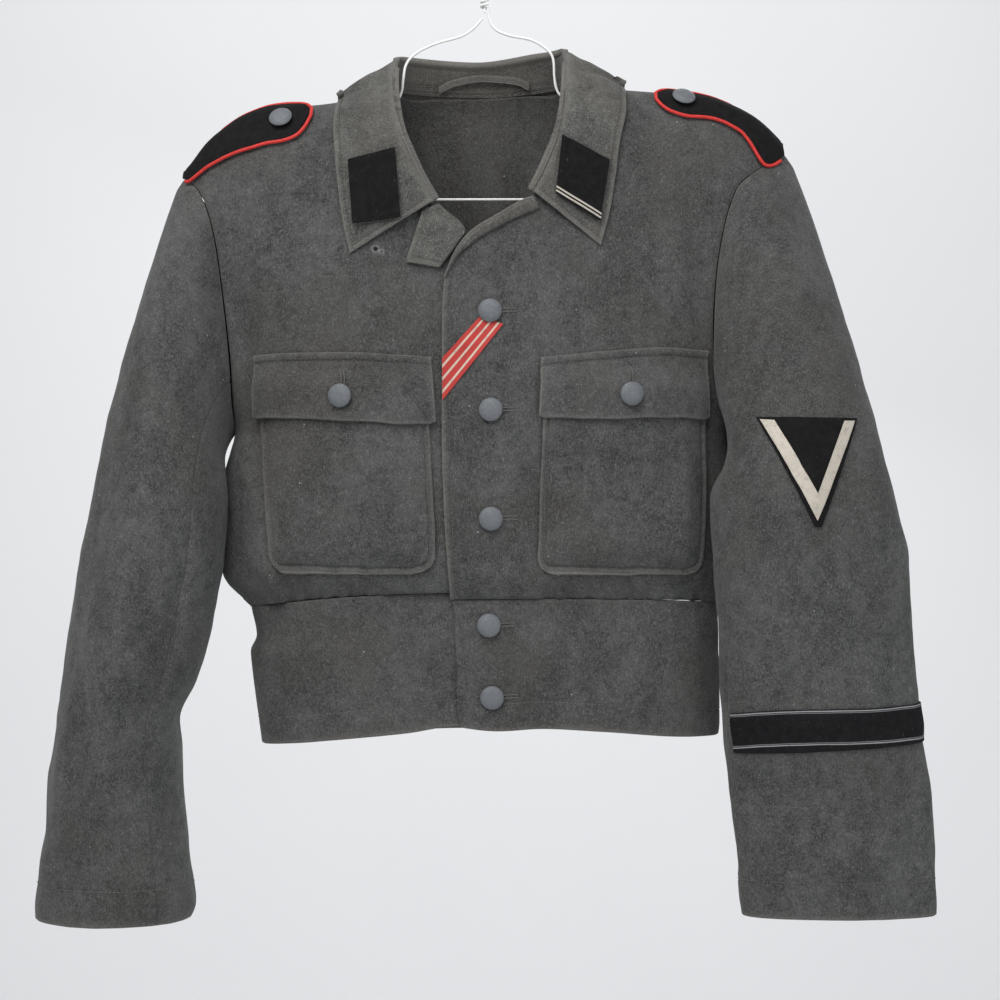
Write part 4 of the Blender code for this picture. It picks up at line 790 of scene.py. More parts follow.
# ---- The waistband ----
# A deep fitted band of the same wool, one piece behind and one for each front, stitched along its
# top seam and 22 mm above its turned-up lower edge.

BAND = Table(
    "z left right front back",
    (-675, -184, 192, 54, 44), (-653, -187, 195, 55, 44), (-607, -193, 195, 56, 44),
    (-595, -194, 194, 57, 44), (-582, -189, 194, 57, 44), (-557, -194, 193, 57, 44),
)  # fmt: skip
HEM = {
    "right": Table("x z", (-184, -671), (-152, -668), (-108, -663), (-63, -658), (-21, -652), (24, -652)),
    "left": Table("x z", (-23, -652), (10, -655.5), (44, -654), (96, -657), (164, -663), (192, -664)),
    "back": Table("x z", (-184, -671), (0, -664), (192, -664)),
}
BAND_FOLDS = Table(
    "x1 z1 x2 z2 width height",
    (124, -588, 92, -620, 5, -1.6), (150, -590, 164, -640, 8, 1.2), (-150, -560, -120, -660, 12, 1.2),
    (-60, -570, -90, -650, 14, -1.0), (-176, -585, -165, -650, 6, -1.5), (60, -570, 50, -650, 12, 0.9),
    (-110, -640, -40, -632, 8, -0.8), (176, -600, 120, -650, 9, -0.9),
)  # fmt: skip


def band_depth(x, z, face):
    left, right = BAND.at(z, "left"), BAND.at(z, "right")
    across = np.clip(abs(2 * x - left - right) / (right - left), 0, 1)
    return BAND.at(z, face) * (1 - across**SIDE_ROUND) ** (1 / SIDE_ROUND)


def band_front(x, z, lap=0.0):
    depth = band_depth(x, z, "front")
    ripple = fold_height(BAND_FOLDS, x, z) + 0.4 * uneven(x, z, 45, 11) + 0.2 * uneven(x, z, 16, 12)
    return points(x, -(SEAM_GAP / 2 + depth + ripple * rising(2.0, 20.0, depth) + lap), z)


def band_left(x, z):
    return band_front(x, z, lap_lift(x))


def band_back(x, z):
    depth = band_depth(x, z, "back")
    ripple = 0.6 * uneven(x, z, 50, 13) + 0.2 * uneven(x, z, 18, 14)
    return points(x, SEAM_GAP / 2 + depth + ripple * rising(2.0, 20.0, depth), z)


down = shares(105, 0.8, 1.9, 8)[:, None]
for side, surface, towards, wide in (
    ("right", band_front, (0, -1, 0), 0.245),
    ("left", band_left, (0, -1, 0), 0.255),
    ("back", band_back, (0, 1, 0), 0.43),
):  # fmt: skip
    waist, hem = WAIST[side], HEM[side]
    limits = {}
    for side_name, x_side in (("left", -194), ("right", 193)):
        z_top, z_bottom = waist.at(x_side, "z") - SEAM_GAP, hem.at(x_side, "z")
        limits[side_name] = BAND.at(z_top + (z_bottom - z_top) * down, side_name)
    left, right = limits["left"], limits["right"]
    fine = shares(wide * 1000, 0.8, 2.0, 9)[None, :]
    if side == "back":
        x = (left + right) / 2 - (right - left) / 2 * np.cos(np.pi * fine)
    elif side == "right":
        x = left + (20.0 - left) * (1 - np.cos(np.pi / 2 * fine))
    else:
        lead = Table(
            "share x", (0, -26), (0.12, -24), (0.35, -23), (0.6, -22), (0.8, -22), (1, -19)
        ).at(down, "x")
        x = lead + (right - lead) * np.sin(np.pi / 2 * fine)
    top, bottom = waist.at(x, "z") - SEAM_GAP, hem.at(x, "z")
    grid = surface(x, top + (bottom - top) * down)
    reach = reaches(grid)
    dip = groove(reach["last_row"], 22.0, 0.6) + groove(reach["first_row"], 3.5, 0.35, 0.7)
    dip = dip + 0.5 * rising(2.5, 0.0, reach["first_row"])
    lines = [inset_line(grid, "last_row", 22.0, -0.25 if side != "back" else 0.25)]
    if side == "left":
        dip = dip + groove(reach["first_column"], 6.0, 0.5)
        lines.append(inset_line(grid, "first_column", 6.0, -0.2, 0.03, 0.97))
    worn = np.exp(-reach["last_row"] / 1.8) + 0.5 * np.exp(-reach["first_row"] / 1.2)
    side_seams = {
        "right": ("first_column",), "left": ("last_column",), "back": ("first_column", "last_column"),
    }  # fmt: skip
    band = cloth_piece(
        f"waistband_{side}_part", grid, towards, wool,
        dip=dip, worn=worn, sewn=("first_row", *side_seams[side]),
    )
    stands_for(band, f"waistband_{side}")
    seam = stitches(f"waistband_{side}_stitching", lines)

# ---- The sleeves ----
# Two-piece sleeves, an upper and an under piece each, seamed at the front and the back of the arm.
# They hang nearly flat, open at the cuff, with a 30 mm hem stitched up inside.

SLEEVE_GAP, HEAD_SHARE, FREE_Z, FREE_TILT = 0.15, 0.44, -455.0, 15.0
CUFF_Z = {"left": -805.0, "right": -809.0}
SLEEVE_SEAMS = {"left": (162, -28), "right": (128, -30)}
SLEEVE_RINGS = {
    "left": Table(
        "z outer inner middle deep",
        (-810, 364, 209, -45, 23), (-788, 365, 206, -45, 24), (-760, 364, 204, -46, 26),
        (-712, 361, 199, -48, 31), (-674, 355, 195, -50, 35), (-632, 349, 190, -52, 39),
        (-583, 344, 189, -53, 42), (-518, 340, 183, -55, 45), (-470, 329, 182, -57, 47),
        (-440, 322, 181, -54, 48),
    ),
    "right": Table(
        "z outer inner middle deep",
        (-812, -363, -240, -34, 45), (-799, -364, -235, -34, 46), (-767, -361, -238, -35, 48),
        (-734, -355, -242, -35, 50), (-706, -354, -245, -36, 51), (-649, -346, -247, -37, 53),
        (-616, -341, -234, -38, 55), (-584, -337, -224, -38, 56), (-551, -332, -217, -38, 57),
        (-519, -327, -211, -38, 57), (-470, -317, -209, -38, 56), (-440, -312, -208, -36, 54),
    ),
}  # fmt: skip
# The way the sleeve leaves the armhole at each turn round it: 0 is the outer top, 90 the front.
SLEEVE_START = {
    "left": Table(
        "turn x y z",
        (0, 0.34, 0.00, -0.94), (45, 0.52, -0.56, -0.64), (90, 0.50, -0.76, -0.42),
        (125, 0.20, -0.90, -0.36), (155, 0.15, -0.85, -0.45), (180, 0.70, -0.40, -0.55),
        (225, 0.90, 0.10, -0.45), (270, 0.78, 0.32, -0.53), (315, 0.58, 0.42, -0.70),
        (360, 0.32, 0.00, -0.945),
    ),
    "right": Table(
        "turn x y z",
        (0, 0.30, 0.00, -0.95), (45, 0.50, -0.56, -0.66), (90, 0.54, -0.72, -0.44),
        (125, 0.45, -0.78, -0.40), (155, 0.35, -0.75, -0.55), (180, 0.60, -0.35, -0.65),
        (225, 0.90, 0.10, -0.45), (270, 0.78, 0.32, -0.53), (315, 0.58, 0.42, -0.70),
        (360, 0.32, 0.00, -0.945),
    ),
}  # fmt: skip
# Folds: turn and height of both ends, half width in degrees, and height. The first three or so of
# each sleeve are the long pressed ones; the rest are the small breaks of a worn sleeve.
SLEEVE_FOLDS = {
    "left": Table(
        "turn1 z1 turn2 z2 width height",
        (150, -330, 105, -500, 14, 3.0), (120, -500, 70, -660, 14, -3.0), (30, -540, 55, -740, 12, -2.5),
        (215, -470, 260, -660, 16, 3.5), (300, -430, 285, -700, 16, 3.5), (330, -340, 320, -560, 14, -3.0),
        (60, -230, 100, -330, 9, -1.6), (88, -300, 60, -430, 10, 1.8), (128, -590, 96, -640, 8, -1.8),
        (40, -700, 80, -790, 10, 1.4), (100, -690, 130, -780, 9, -1.3), (75, -420, 118, -470, 7, -1.5),
        (250, -300, 290, -420, 12, -2.0), (235, -600, 270, -640, 8, -2.0), (280, -560, 310, -600, 8, -1.8),
    ),
    "right": Table(
        "turn1 z1 turn2 z2 width height",
        (70, -270, 92, -800, 13, 4.0), (124, -490, 126, -690, 10, -4.0), (30, -330, 50, -620, 13, -3.0),
        (60, -520, 40, -760, 12, 3.0), (225, -480, 265, -700, 16, 3.5), (305, -430, 285, -700, 16, 3.5),
        (335, -340, 320, -600, 14, -3.0), (60, -250, 104, -330, 9, -1.8), (100, -330, 84, -440, 8, 1.6),
        (112, -560, 84, -600, 8, -1.8), (106, -700, 120, -790, 7, -1.5), (40, -640, 66, -700, 8, -1.4),
        (250, -300, 290, -420, 12, -2.0), (235, -600, 270, -640, 8, -2.0), (280, -560, 310, -600, 8, -1.8),
    ),
}  # fmt: skip


def armhole_point(side, turn):
    """A place on the armhole: from the shoulder point, down the front, and up the back."""
    turn = np.asarray(turn, float) % 360
    share = np.where(turn <= 180, turn, 360 - turn) / 180
    found = {}
    for face, sign in (("front", -1), ("back", 1)):
        edge = ARMHOLE[side, face]
        low, high = edge.column("z")[[0, -1]]
        z = high + (low - high) * (1 - np.cos(np.pi * share)) / 2
        x = edge.at(z, "x")
        found[face] = points(x, sign * torso_depth(x, z, face), z)
    return np.where((turn <= 180)[..., None], found["front"], found["back"])


def ring_point(side, turn, z):
    rings = SLEEVE_RINGS[side]
    outer, inner = rings.at(z, "outer"), rings.at(z, "inner")
    angle = np.radians(turn)
    x = (outer + inner) / 2 + (outer - inner) / 2 * np.cos(angle)
    return points(x, rings.at(z, "middle") - rings.at(z, "deep") * np.sin(angle), z)


def sleeve_base(side, turn, along):
    turn, along = np.broadcast_arrays(np.asarray(turn, float), np.asarray(along, float))
    sign = 1 if side == "left" else -1
    lead = unit(points(*(SLEEVE_START[side].at(turn % 360, name) for name in "xyz"))) * np.array([sign, 1, 1])
    start = armhole_point(side, turn) + SLEEVE_GAP * lead
    free_z = FREE_Z + FREE_TILT * np.cos(np.radians(turn))
    meet = ring_point(side, turn, free_z)
    fall = unit(ring_point(side, turn, free_z - 4.0) - meet)
    pull = np.linalg.norm(meet - start, axis=-1, keepdims=True) * 0.9
    t = np.clip(along / HEAD_SHARE, 0, 1)[..., None]
    head = (
        start * (1 + 2 * t) * (1 - t) ** 2
        + meet * t**2 * (3 - 2 * t)
        + lead * pull * t * (1 - t) ** 2
        - fall * pull * t**2 * (1 - t)
    )
    low_z = free_z + (CUFF_Z[side] - free_z) * np.clip((along - HEAD_SHARE) / (1 - HEAD_SHARE), 0, 1)
    return np.where((along < HEAD_SHARE)[..., None], head, ring_point(side, turn, low_z))


def sleeve_outward(side, turn):
    angle = np.radians(turn)
    sign = 1 if side == "left" else -1
    return unit(points(sign * np.cos(angle), -np.sin(angle) * 1.2, 0 * angle))


def sleeve_surface(side, turn, along):
    base = sleeve_base(side, turn, along)
    z = base[..., 2]
    total = 0.0
    for turn1, z1, turn2, z2, width, height in SLEEVE_FOLDS[side].rows:
        run = np.clip((z - z1) / (z2 - z1), 0, 1)
        off = (np.asarray(turn, float) - turn1 - (turn2 - turn1) * run + 180) % 360 - 180
        total = total + height * np.exp(-((off / width) ** 2)) * np.sin(np.pi * run) ** 0.7
    round_arm = np.asarray(turn, float) * 1.25
    total = total + 0.6 * uneven(round_arm, z, 60, 21) + 0.25 * uneven(round_arm, z, 22, 22)
    # The head of the sleeve stands a little proud of its seam, over the seam's turnings.
    head = 2.4 * rising(0.0, 0.022, along) * (1 - rising(0.03, 0.22, along))
    spread = rising(0.0, 0.25, np.asarray(along, float)) * total + head
    return base + sleeve_outward(side, turn + 0 * z) * spread[..., None]


sleeve_pieces = {}
for side in ("right", "left"):
    front_seam, back_seam = SLEEVE_SEAMS[side]
    for part, first, last in (("upper", back_seam, front_seam), ("under", front_seam, back_seam + 360)):
        around = first + 0.03 + (last - first - 0.06) * shares(200, 0.9, 2.6, 8)[None, :]
        along = shares(600, 1.0, 3.2, 10)[:, None]
        grid = sleeve_surface(side, around, along)
        turned_out = sleeve_outward(side, around[0, around.shape[1] // 2])
        reach = reaches(grid)
        dip = groove(reach["last_row"], 30.0, 0.5) + 0.5 * rising(2.5, 0.0, reach["first_row"])
        worn = np.exp(-reach["last_row"] / 1.8) + 0.35 * np.exp(-reach["first_row"] / 2.0)
        dip = dip + 0.5 * rising(2.2, 0.0, np.minimum(reach["first_column"], reach["last_column"]))
        piece = cloth_piece(
            f"sleeve_{part}_{side}_panel", grid, turned_out, wool, dip=dip, worn=worn,
            sewn=("first_row", "first_column", "last_column"),
        )  # fmt: skip
        stands_for(piece, f"sleeve_{part}_{side}")
        line = inset_line(grid, "last_row", 30.0) + turned_out * 0.2
        seam = stitches(f"sleeve_{part}_{side}_hem", [line])
        "front_over" if side == "left" else "front_under"  # fmt: skip
        sleeve_pieces[side, part] = grid

# ---- The patch pockets ----
# Plain patches of the same wool, sewn round their sides and rounded lower corners 4 mm in, with
# a little fullness so that each stands out from the front.

POCKET_CLOTH, POCKET_LIFT, POCKET_PUFF = 2.2, 0.8, 5.5
POCKETS = {
    "right": Table(
        "z left right",
        (-529, -158, -58), (-526.5, -166, -48), (-522, -171, -41), (-515, -173.5, -38), (-500, -174.5, -38),
        (-465, -177, -40), (-430, -179, -42), (-404, -180.5, -44), (-384, -181, -46),
    ),
    "left": Table(
        "z left right",
        (-529.5, 61, 162), (-527.5, 50, 170), (-523, 44, 175), (-515, 42, 177), (-500, 43, 178),
        (-460, 44, 179.5), (-430, 45.5, 179), (-404, 46, 178.5), (-384, 46, 178.5),
    ),
}  # fmt: skip
POCKET_FOLDS = Table(
    "x1 z1 x2 z2 width height",
    (162, -425, 158, -520, 6, 2.2), (-60, -420, -75, -505, 9, 1.2), (-160, -430, -150, -515, 8, 1.3),
    (70, -420, 84, -510, 10, 1.0), (110, -430, 118, -500, 12, -1.4), (-110, -425, -118, -500, 12, -1.4),
    (-170, -470, -60, -486, 9, -0.8), (50, -480, 150, -468, 9, -0.8), (-100, -500, -50, -520, 7, 1.0),
)  # fmt: skip


def pocket_rise(side, x, z):
    """The pocket's height over the front: flat at its seams, puffed in the middle."""
    outline = POCKETS[side]
    low, high = outline.column("z")[[0, -1]]
    left, right = outline.at(z, "left"), outline.at(z, "right")
    across = np.clip((2 * x - left - right) / (right - left), -1, 1)
    up = np.clip((z - low) / (high - low), 0, 1)
    swell = (1 - across**6) * rising(0.0, 0.16, up) * (1 - 0.35 * up)
    ripple = fold_height(POCKET_FOLDS, x, z) + 0.5 * uneven(x, z, 30, 31) + 0.2 * uneven(x, z, 12, 32)
    return POCKET_LIFT + swell * (POCKET_PUFF + ripple)


def lay_on(surface, x, z, low):
    """Places that lie on a face of the tunic, low above it."""
    base = surface(x, z)
    sideways, upward = surface(x + 1.5, z) - surface(x - 1.5, z), surface(x, z + 1.5) - surface(x, z - 1.5)
    return base + unit(np.cross(sideways, upward)) * np.broadcast_to(low, np.shape(x))[..., None]


def edge_away(x, z, outline):
    """How far places are from an open line of x and z, seen from the front."""
    nearest = np.full(np.shape(x), 1e9)
    for (x1, z1), (x2, z2) in zip(outline[:-1], outline[1:]):
        run = (x2 - x1) ** 2 + (z2 - z1) ** 2
        t = np.clip(((x - x1) * (x2 - x1) + (z - z1) * (z2 - z1)) / run, 0, 1)
        nearest = np.minimum(nearest, np.hypot(x - x1 - t * (x2 - x1), z - z1 - t * (z2 - z1)))
    return nearest


def moved_in(outline, inset):
    """A line of x and z moved sideways to its left by the inset, evenly spaced again."""
    heading = unit(np.gradient(outline, axis=0))
    line = outline + inset * np.stack([-heading[:, 1], heading[:, 0]], axis=-1)
    run = np.r_[0, np.cumsum(np.linalg.norm(np.diff(line, axis=0), axis=1))]
    even = np.linspace(0, run[-1], int(run[-1] / 1.5))
    return np.stack([np.interp(even, run, line[:, i]) for i in (0, 1)], axis=-1)


for side in ("right", "left"):
    surface = left_front if side == "left" else right_front
    outline = POCKETS[side]
    bottom, top = outline.column("z")[[0, -1]]
    z = bottom + (top - bottom) * shares(145, 0.5, 1.7, 12)[:, None]
    left, right = outline.at(z, "left"), outline.at(z, "right")
    x = left + (right - left) * shares(138, 0.6, 1.9, 8)[None, :]
    z = z + 0 * x
    # The seamed edge runs down one side, along the bottom and up the other.
    rows = np.linspace(top, bottom, 120)
    edge_line = np.concatenate(
        [
            np.stack([outline.at(rows, "left"), rows], axis=-1),
            np.stack([outline.at(rows[::-1], "right"), rows[::-1]], axis=-1),
        ]
    )
    away = edge_away(x, z, edge_line[::3])
    grid = lay_on(surface, x, z, pocket_rise(side, x, z) + POCKET_CLOTH)
    pressed = groove(away, 4.4, 1.5, 1.1) - 0.5 * groove(away, 1.9, 1.0, 1.3)
    pocket = cloth_piece(
        f"patch_pocket_{side}", grid, (0, -1, 0), wool, POCKET_CLOTH, pressed, np.exp(-away / 1.6)
    )
    stands_for(pocket, f"pocket_{side}")
    sewn_line = moved_in(edge_line, 4.4)
    path = lay_on(
        surface, sewn_line[:, 0], sewn_line[:, 1], pocket_rise(side, *sewn_line.T) + POCKET_CLOTH - 1.3
    )
    seam = stitches(f"patch_pocket_{side}_stitching", [path])
    "front_over" if side == "left" else "front_under"  # fmt: skip

# ---- The pocket flaps ----
# Each is two layers of the wool turned together, 145 mm wide, sewn to the front by its top edge
# with a second row 7 mm below, and buttoned through a thread-bound hole.

FLAP_CLOTH = 2.6
FLAPS = {
    "right": Table(
        "x top bottom", (-185.5, -353, -403), (-160, -351.5, -404), (-112, -351.5, -407),
        (-70, -354, -409.5), (-42, -356, -410),
    ),
    "left": Table(
        "x top bottom", (45, -356, -404.5), (84, -352, -406), (112, -349.5, -405.5),
        (146, -347, -404), (181, -349, -405),
    ),
}  # fmt: skip
FLAP_SLANT = {"right": (0.0, 3.5), "left": (-3.5, -1.0)}


def flap_rise(side, x, z):
    """The flap's height over the front: sewn down at its top, over the pocket's mouth below."""
    mouth = POCKETS[side].column("z")[-1]
    over_pocket = pocket_rise(side, x, np.minimum(z, mouth)) + POCKET_CLOTH + 1.6
    wave = 0.5 * uneven(x, z, 26, 41 if side == "left" else 42)
    return 0.4 + (over_pocket + wave - 0.4) * (1 - rising(mouth + 2, mouth + 26, z))


for side in ("right", "left"):
    surface = left_front if side == "left" else right_front
    outline = FLAPS[side]
    low, high = outline.column("x")[[0, -1]]
    x = low + (high - low) * shares(142, 0.5, 1.7, 8)[None, :]
    t = shares(54, 0.5, 1.5, 8)[:, None]
    top, bottom = outline.at(x, "top"), outline.at(x, "bottom")
    z = top + (bottom - top) * t
    x = x + np.interp(x, [low, high], FLAP_SLANT[side]) * t
    # The lower corners are turned to a small round.
    reach_x, reach_z = (
        np.minimum(x - x.min(axis=1, keepdims=True), x.max(axis=1, keepdims=True) - x), z - bottom
    )
    tuck = np.clip(6 - np.hypot(np.minimum(reach_x - 6, 0), np.minimum(reach_z - 6, 0)), -3, 0)
    z = z - tuck * (reach_x < 6) * (reach_z < 6) * 0.8
    grid = lay_on(surface, x, z, flap_rise(side, x, z) + FLAP_CLOTH)
    reach = reaches(grid)
    button_x, button_z = {"right": (-112.0, -387.2), "left": (115.2, -385.6)}[side]
    pulled = 1.3 * np.exp(-(((x - button_x) / 9) ** 2) - ((z - button_z) / 9) ** 2)
    pressed = (
        groove(reach["first_row"], 7.5, 1.0, 1.1) + pulled - 0.5 * groove(reach["first_row"], 4.0, 1.0, 2.2)
    )
    border = np.minimum.reduce([reach["last_row"], reach["first_column"], reach["last_column"]])
    worn = np.exp(-border / 1.5) + 0.6 * np.exp(-reach["first_row"] / 1.2)
    flap = cloth_piece(f"flap_{side}", grid, (0, -1, 0), wool, FLAP_CLOTH, pressed, worn)
    stands_for(flap, f"pocket_flap_{side}")
    seam = stitches(
        f"flap_{side}_stitching",
        [
            inset_line(grid, "first_row", 7.5, -0.8, 0.0, 1.0),
            inset_line(grid, "first_row", 1.8, -0.3, 0.0, 1.0),
        ],
    )

# ---- The lapels ----
# At the open neck the wearer's right edge is turned out as a small lapel. The other edge rolls to
# a narrow lip with two rows of stitching, and ends in a small rounded tab.

collar_wool = wool_finish("collar_wool", (0.032, 0.032, 0.030), (0.124, 0.123, 0.115), (0.090, 0.080, 0.068))

across, down = shares(42, 0.6, 1.4, 6)[None, :], shares(48, 0.6, 1.4, 6)[:, None]
roll = Table("t x z", (0, -36, -232), (0.4, -14, -255), (0.6, -20, -265), (0.8, -28, -276), (1, -35, -285))
x = -50 - 13 * down + (roll.at(down, "x") + 50 + 13 * down) * across
z = -238 - 42 * down + (roll.at(down, "z") + 238 + 42 * down) * across
lift = WOOL + 1.6 + 1.0 * np.sin(np.pi * across) ** 0.6 + 0.5 * uneven(x, z, 22, 51)
grid = lay_on(right_front, x, z, lift)
reach = reaches(grid)
border = np.minimum(reach["first_column"], reach["last_row"])
lapel = cloth_piece(
    "turned_lapel", grid, (0, -1, 0), collar_wool, WOOL + 0.6, groove(border, 5.0, 0.7), np.exp(-border / 1.5)
)
stands_for(lapel, "lapel_facing_right")
seam = stitches(
    "turned_lapel_stitching",
    [
        inset_line(grid, "first_column", 5.0, -0.4, 0.02, 0.88),
        inset_line(grid, "last_row", 5.0, -0.4, 0.14, 0.95),
    ],
)

lip = Table(
    "t x z width",
    (0, -32, -293, 1.5), (0.2, -24, -273, 5), (0.4, -11, -256, 9), (0.6, 7, -244, 10),
    (0.8, 22, -235, 11), (0.93, 33, -229, 12), (1, 39, -227, 11),
)  # fmt: skip
down, across = shares(100, 0.6, 1.3, 5)[:, None], shares(12, 0.45, 0.8, 3)[None, :]
x = lip.at(down, "x") + lip.at(down, "width") * across * 0.45
z = lip.at(down, "z") + 1.0 - lip.at(down, "width") * across * 0.9
lift = WOOL + 1.0 + 1.3 * np.sin(np.pi * np.clip(across * 1.1, 0, 1)) ** 0.6 * rising(0.0, 0.3, down)
grid = lay_on(left_front, x, z, lift)
reach = reaches(grid)
pressed = groove(reach["first_column"], 2.6, 0.5, 0.7) + groove(reach["first_column"], 7.0, 0.5, 0.7)
lip_roll = cloth_piece(
    "rolled_lip", grid, (0, -1, 0), collar_wool, WOOL, pressed, np.exp(-reach["first_column"] / 2.0)
)
stands_for(lip_roll, "lapel_facing_left")
seam = stitches(
    "rolled_lip_stitching",
    [
        inset_line(grid, "first_column", 2.6, -0.3, 0.2, 0.99),
        inset_line(grid, "first_column", 7.0, -0.3, 0.45, 0.99),
    ],
)

# ---- The collar ----
# A fold-down collar and its stand, turned from one doubled piece of slightly browner wool. The
# stand is sewn to the neck seam with zigzag rows, and the leaf is stitched 5 mm in all round.

COLLAR_CLOTH, SHOULDER_ARCH = 2.6, 5.5
COLLAR = Table(
    "place neck_x neck_z neck_hold fold_x fold_y fold_z edge_x edge_z edge_hold lift",
    (0.00, -40, -228, -1, -37, -61, -229, -108, -272, -1, 4.5),
    (0.07, -52, -209, -1, -50, -59.5, -206, -114, -246, -1, 5.0),
    (0.15, -61, -188, -1, -59, -57.5, -186, -118, -218, -1, 5.5),
    (0.22, -66, -169, -1, -66, -54.5, -169, -121, -189, -1, 6.5),
    (0.29, -71, -149, -1, -70, -45, -148, -123, -160, -1, 8.0),
    (0.36, -73, -129, -1, -73, -19, -119, -122, -135.5, -1, 8.0),
    (0.42, -68, -127, 1, -72, 9, -100, -110, -143.5, 1, 9.0),
    (0.46, -44, -127, 1, -50, 32, -98, -70, -155, 1, 7.0),
    (0.50, 0, -127, 1, -6, 43, -98.5, 0, -166, 1, 6.0),
    (0.54, 42, -125, 1, 46, 32, -93, 66, -150, 1, 7.0),
    (0.58, 61, -124, 1, 65, 9, -93, 104, -135, 1, 9.0),
    (0.64, 67, -126, -1, 66, -18, -110, 117, -125.5, -1, 8.0),
    (0.71, 66, -143, -1, 64, -42, -137, 116, -150, -1, 8.0),
    (0.78, 62, -164, -1, 60, -53.5, -164, 110, -181, -1, 6.5),
    (0.85, 55, -186, -1, 53, -57.5, -185, 106, -210, -1, 5.5),
    (0.93, 46, -205, -1, 45, -59.5, -204, 101, -240, -1, 5.0),
    (1.00, 37, -221, -1, 36, -61, -221, 94, -266, -1, 4.5),
)  # fmt: skip
COLLAR_ROLL = Table(
    "share down out",
    (0.0, 0.0, 0.0), (0.24, 0.5, -0.6), (0.42, 0.88, -1.6), (0.5, 1.0, 0.6), (0.58, 1.1, 3.2),
    (0.7, 1.35, 3.0), (0.85, 1.7, 1.5), (1.0, 2.0, 0.0),
)  # fmt: skip


def collar_frame(place):
    """The neck seam, fold and outer edge of the collar at a place along it."""
    read = {name: COLLAR.at(place, name) for name in COLLAR.names[1:]}
    face = {-1: "front", 1: "back"}
    found = {}
    for part in ("neck", "edge"):
        x, z, hold = read[f"{part}_x"], read[f"{part}_z"], read[f"{part}_hold"]
        depth = {sign: torso_depth(x, z, name) for sign, name in face.items()}
        lift = read["lift"] if part == "edge" else 0.0
        found[part] = points(x, np.where(hold < 0, hold * (depth[-1] + lift), hold * (depth[1] + lift)), z)
    found["fold"] = points(read["fold_x"], read["fold_y"], read["fold_z"])
    return found


def collar_surface(place, share):
    place, share = np.broadcast_arrays(np.asarray(place, float), np.asarray(share, float))
    marks = collar_frame(place)
    down = COLLAR_ROLL.at(share, "down")[..., None]
    out = COLLAR_ROLL.at(share, "out")[..., None]
    stand = marks["neck"] + (marks["fold"] - marks["neck"]) * np.clip(down, 0, 1)
    leaf = marks["fold"] + (marks["edge"] - marks["fold"]) * np.clip(down - 1, 0, 1)
    away = marks["fold"] * np.array([1, 1, 0]) - np.array([-3, 10, 0])
    away = unit(away + np.array([0, -12, 0]) * (marks["fold"][..., 1:2] < -30))
    # The leaf arches over the shoulder, highest halfway from the fold to its edge.
    beside = np.exp(-(((place - 0.37) / 0.055) ** 2)) + np.exp(-(((place - 0.635) / 0.055) ** 2))
    arch = SHOULDER_ARCH * beside[..., None] * np.sin(np.pi * np.clip(down - 1, 0, 1))
    return np.where(down <= 1, stand, leaf) + away * out + arch * np.array([0.0, 0.0, 1.0])


def surface_normals(surface, u, v, towards):
    near = 0.002
    across = surface(u + near, v) - surface(u - near, v)
    upward = surface(u, v + near) - surface(u, v - near)
    normals = unit(np.cross(across, upward))
    return normals * np.sign(np.sum(normals * towards, axis=-1, keepdims=True))


place, share = shares(560, 0.9, 2.2, 8)[:, None], shares(110, 0.6, 1.3, 9)[None, :]
middle = collar_surface(place, share)
under_side = grid_normals(middle, (0, 1, 0))
leaf_share = rising(0.5, 0.62, share)
wave = 0.55 * uneven(place * 560, share * 90, 40, 61) + 0.25 * uneven(place * 560, share * 90, 15, 62)
rolled = wave * leaf_share * (1 - rising(0.93, 1.0, share) * 0.4)
grid = middle - under_side * (COLLAR_CLOTH / 2 + rolled[..., None])
reach = reaches(grid)
border = np.minimum.reduce([
    reach["last_column"], reach["first_row"] + 99 * (share < 0.5), reach["last_row"] + 99 * (share < 0.5),
])
pressed = groove(border, 5.0, 0.7) * (share > 0.5)
pressed = pressed + groove(reach["first_column"], 3.0, 0.5) * (share < 0.5)
pressed = pressed + groove(reach["first_column"], 9.0, 0.4) * (share < 0.5)
worn = np.exp(-border / 2.0) + 0.8 * rising(0.30, 0.44, share) * rising(0.60, 0.48, share)
collar = cloth_piece(
    "collar_and_stand", grid, -under_side[len(grid) // 2, grid.shape[1] // 2], collar_wool,
    COLLAR_CLOTH, pressed, worn, sewn=("first_column",),
)
stands_for(collar, "collar")
half = share.shape[1] // 2
leaf = grid[:, half:]
seams = [
    inset_line(leaf, "last_column", 5.0, 0.05, 0.012, 0.988),
    inset_line(leaf, "first_row", 5.0, 0.05, 0.12, 0.93),
    inset_line(leaf, "last_row", 5.0, 0.05, 0.12, 0.93),
]
stand_lines = []
for inset in (3.0, 9.0):
    line = through(inset_line(grid[:, :half], "first_column", inset, 0.0, 0.25, 0.75), 3)
    zigzag = np.where(np.arange(len(line)) // 2 % 2, 1.0, -1.0) * 1.1
    stand_lines.append(line + zigzag[:, None] * np.array([0, 0, 1.0]) + np.array([0, -0.25, 0]))
seam = stitches("collar_stitching", seams)
zigzags = stitches("collar_stand_stitching", stand_lines, pitch=1.9, long=2.0, wide=0.65)

# ---- The hanging loop ----
# A folded strip of the wool inside the back of the stand, sewn down at both ends.

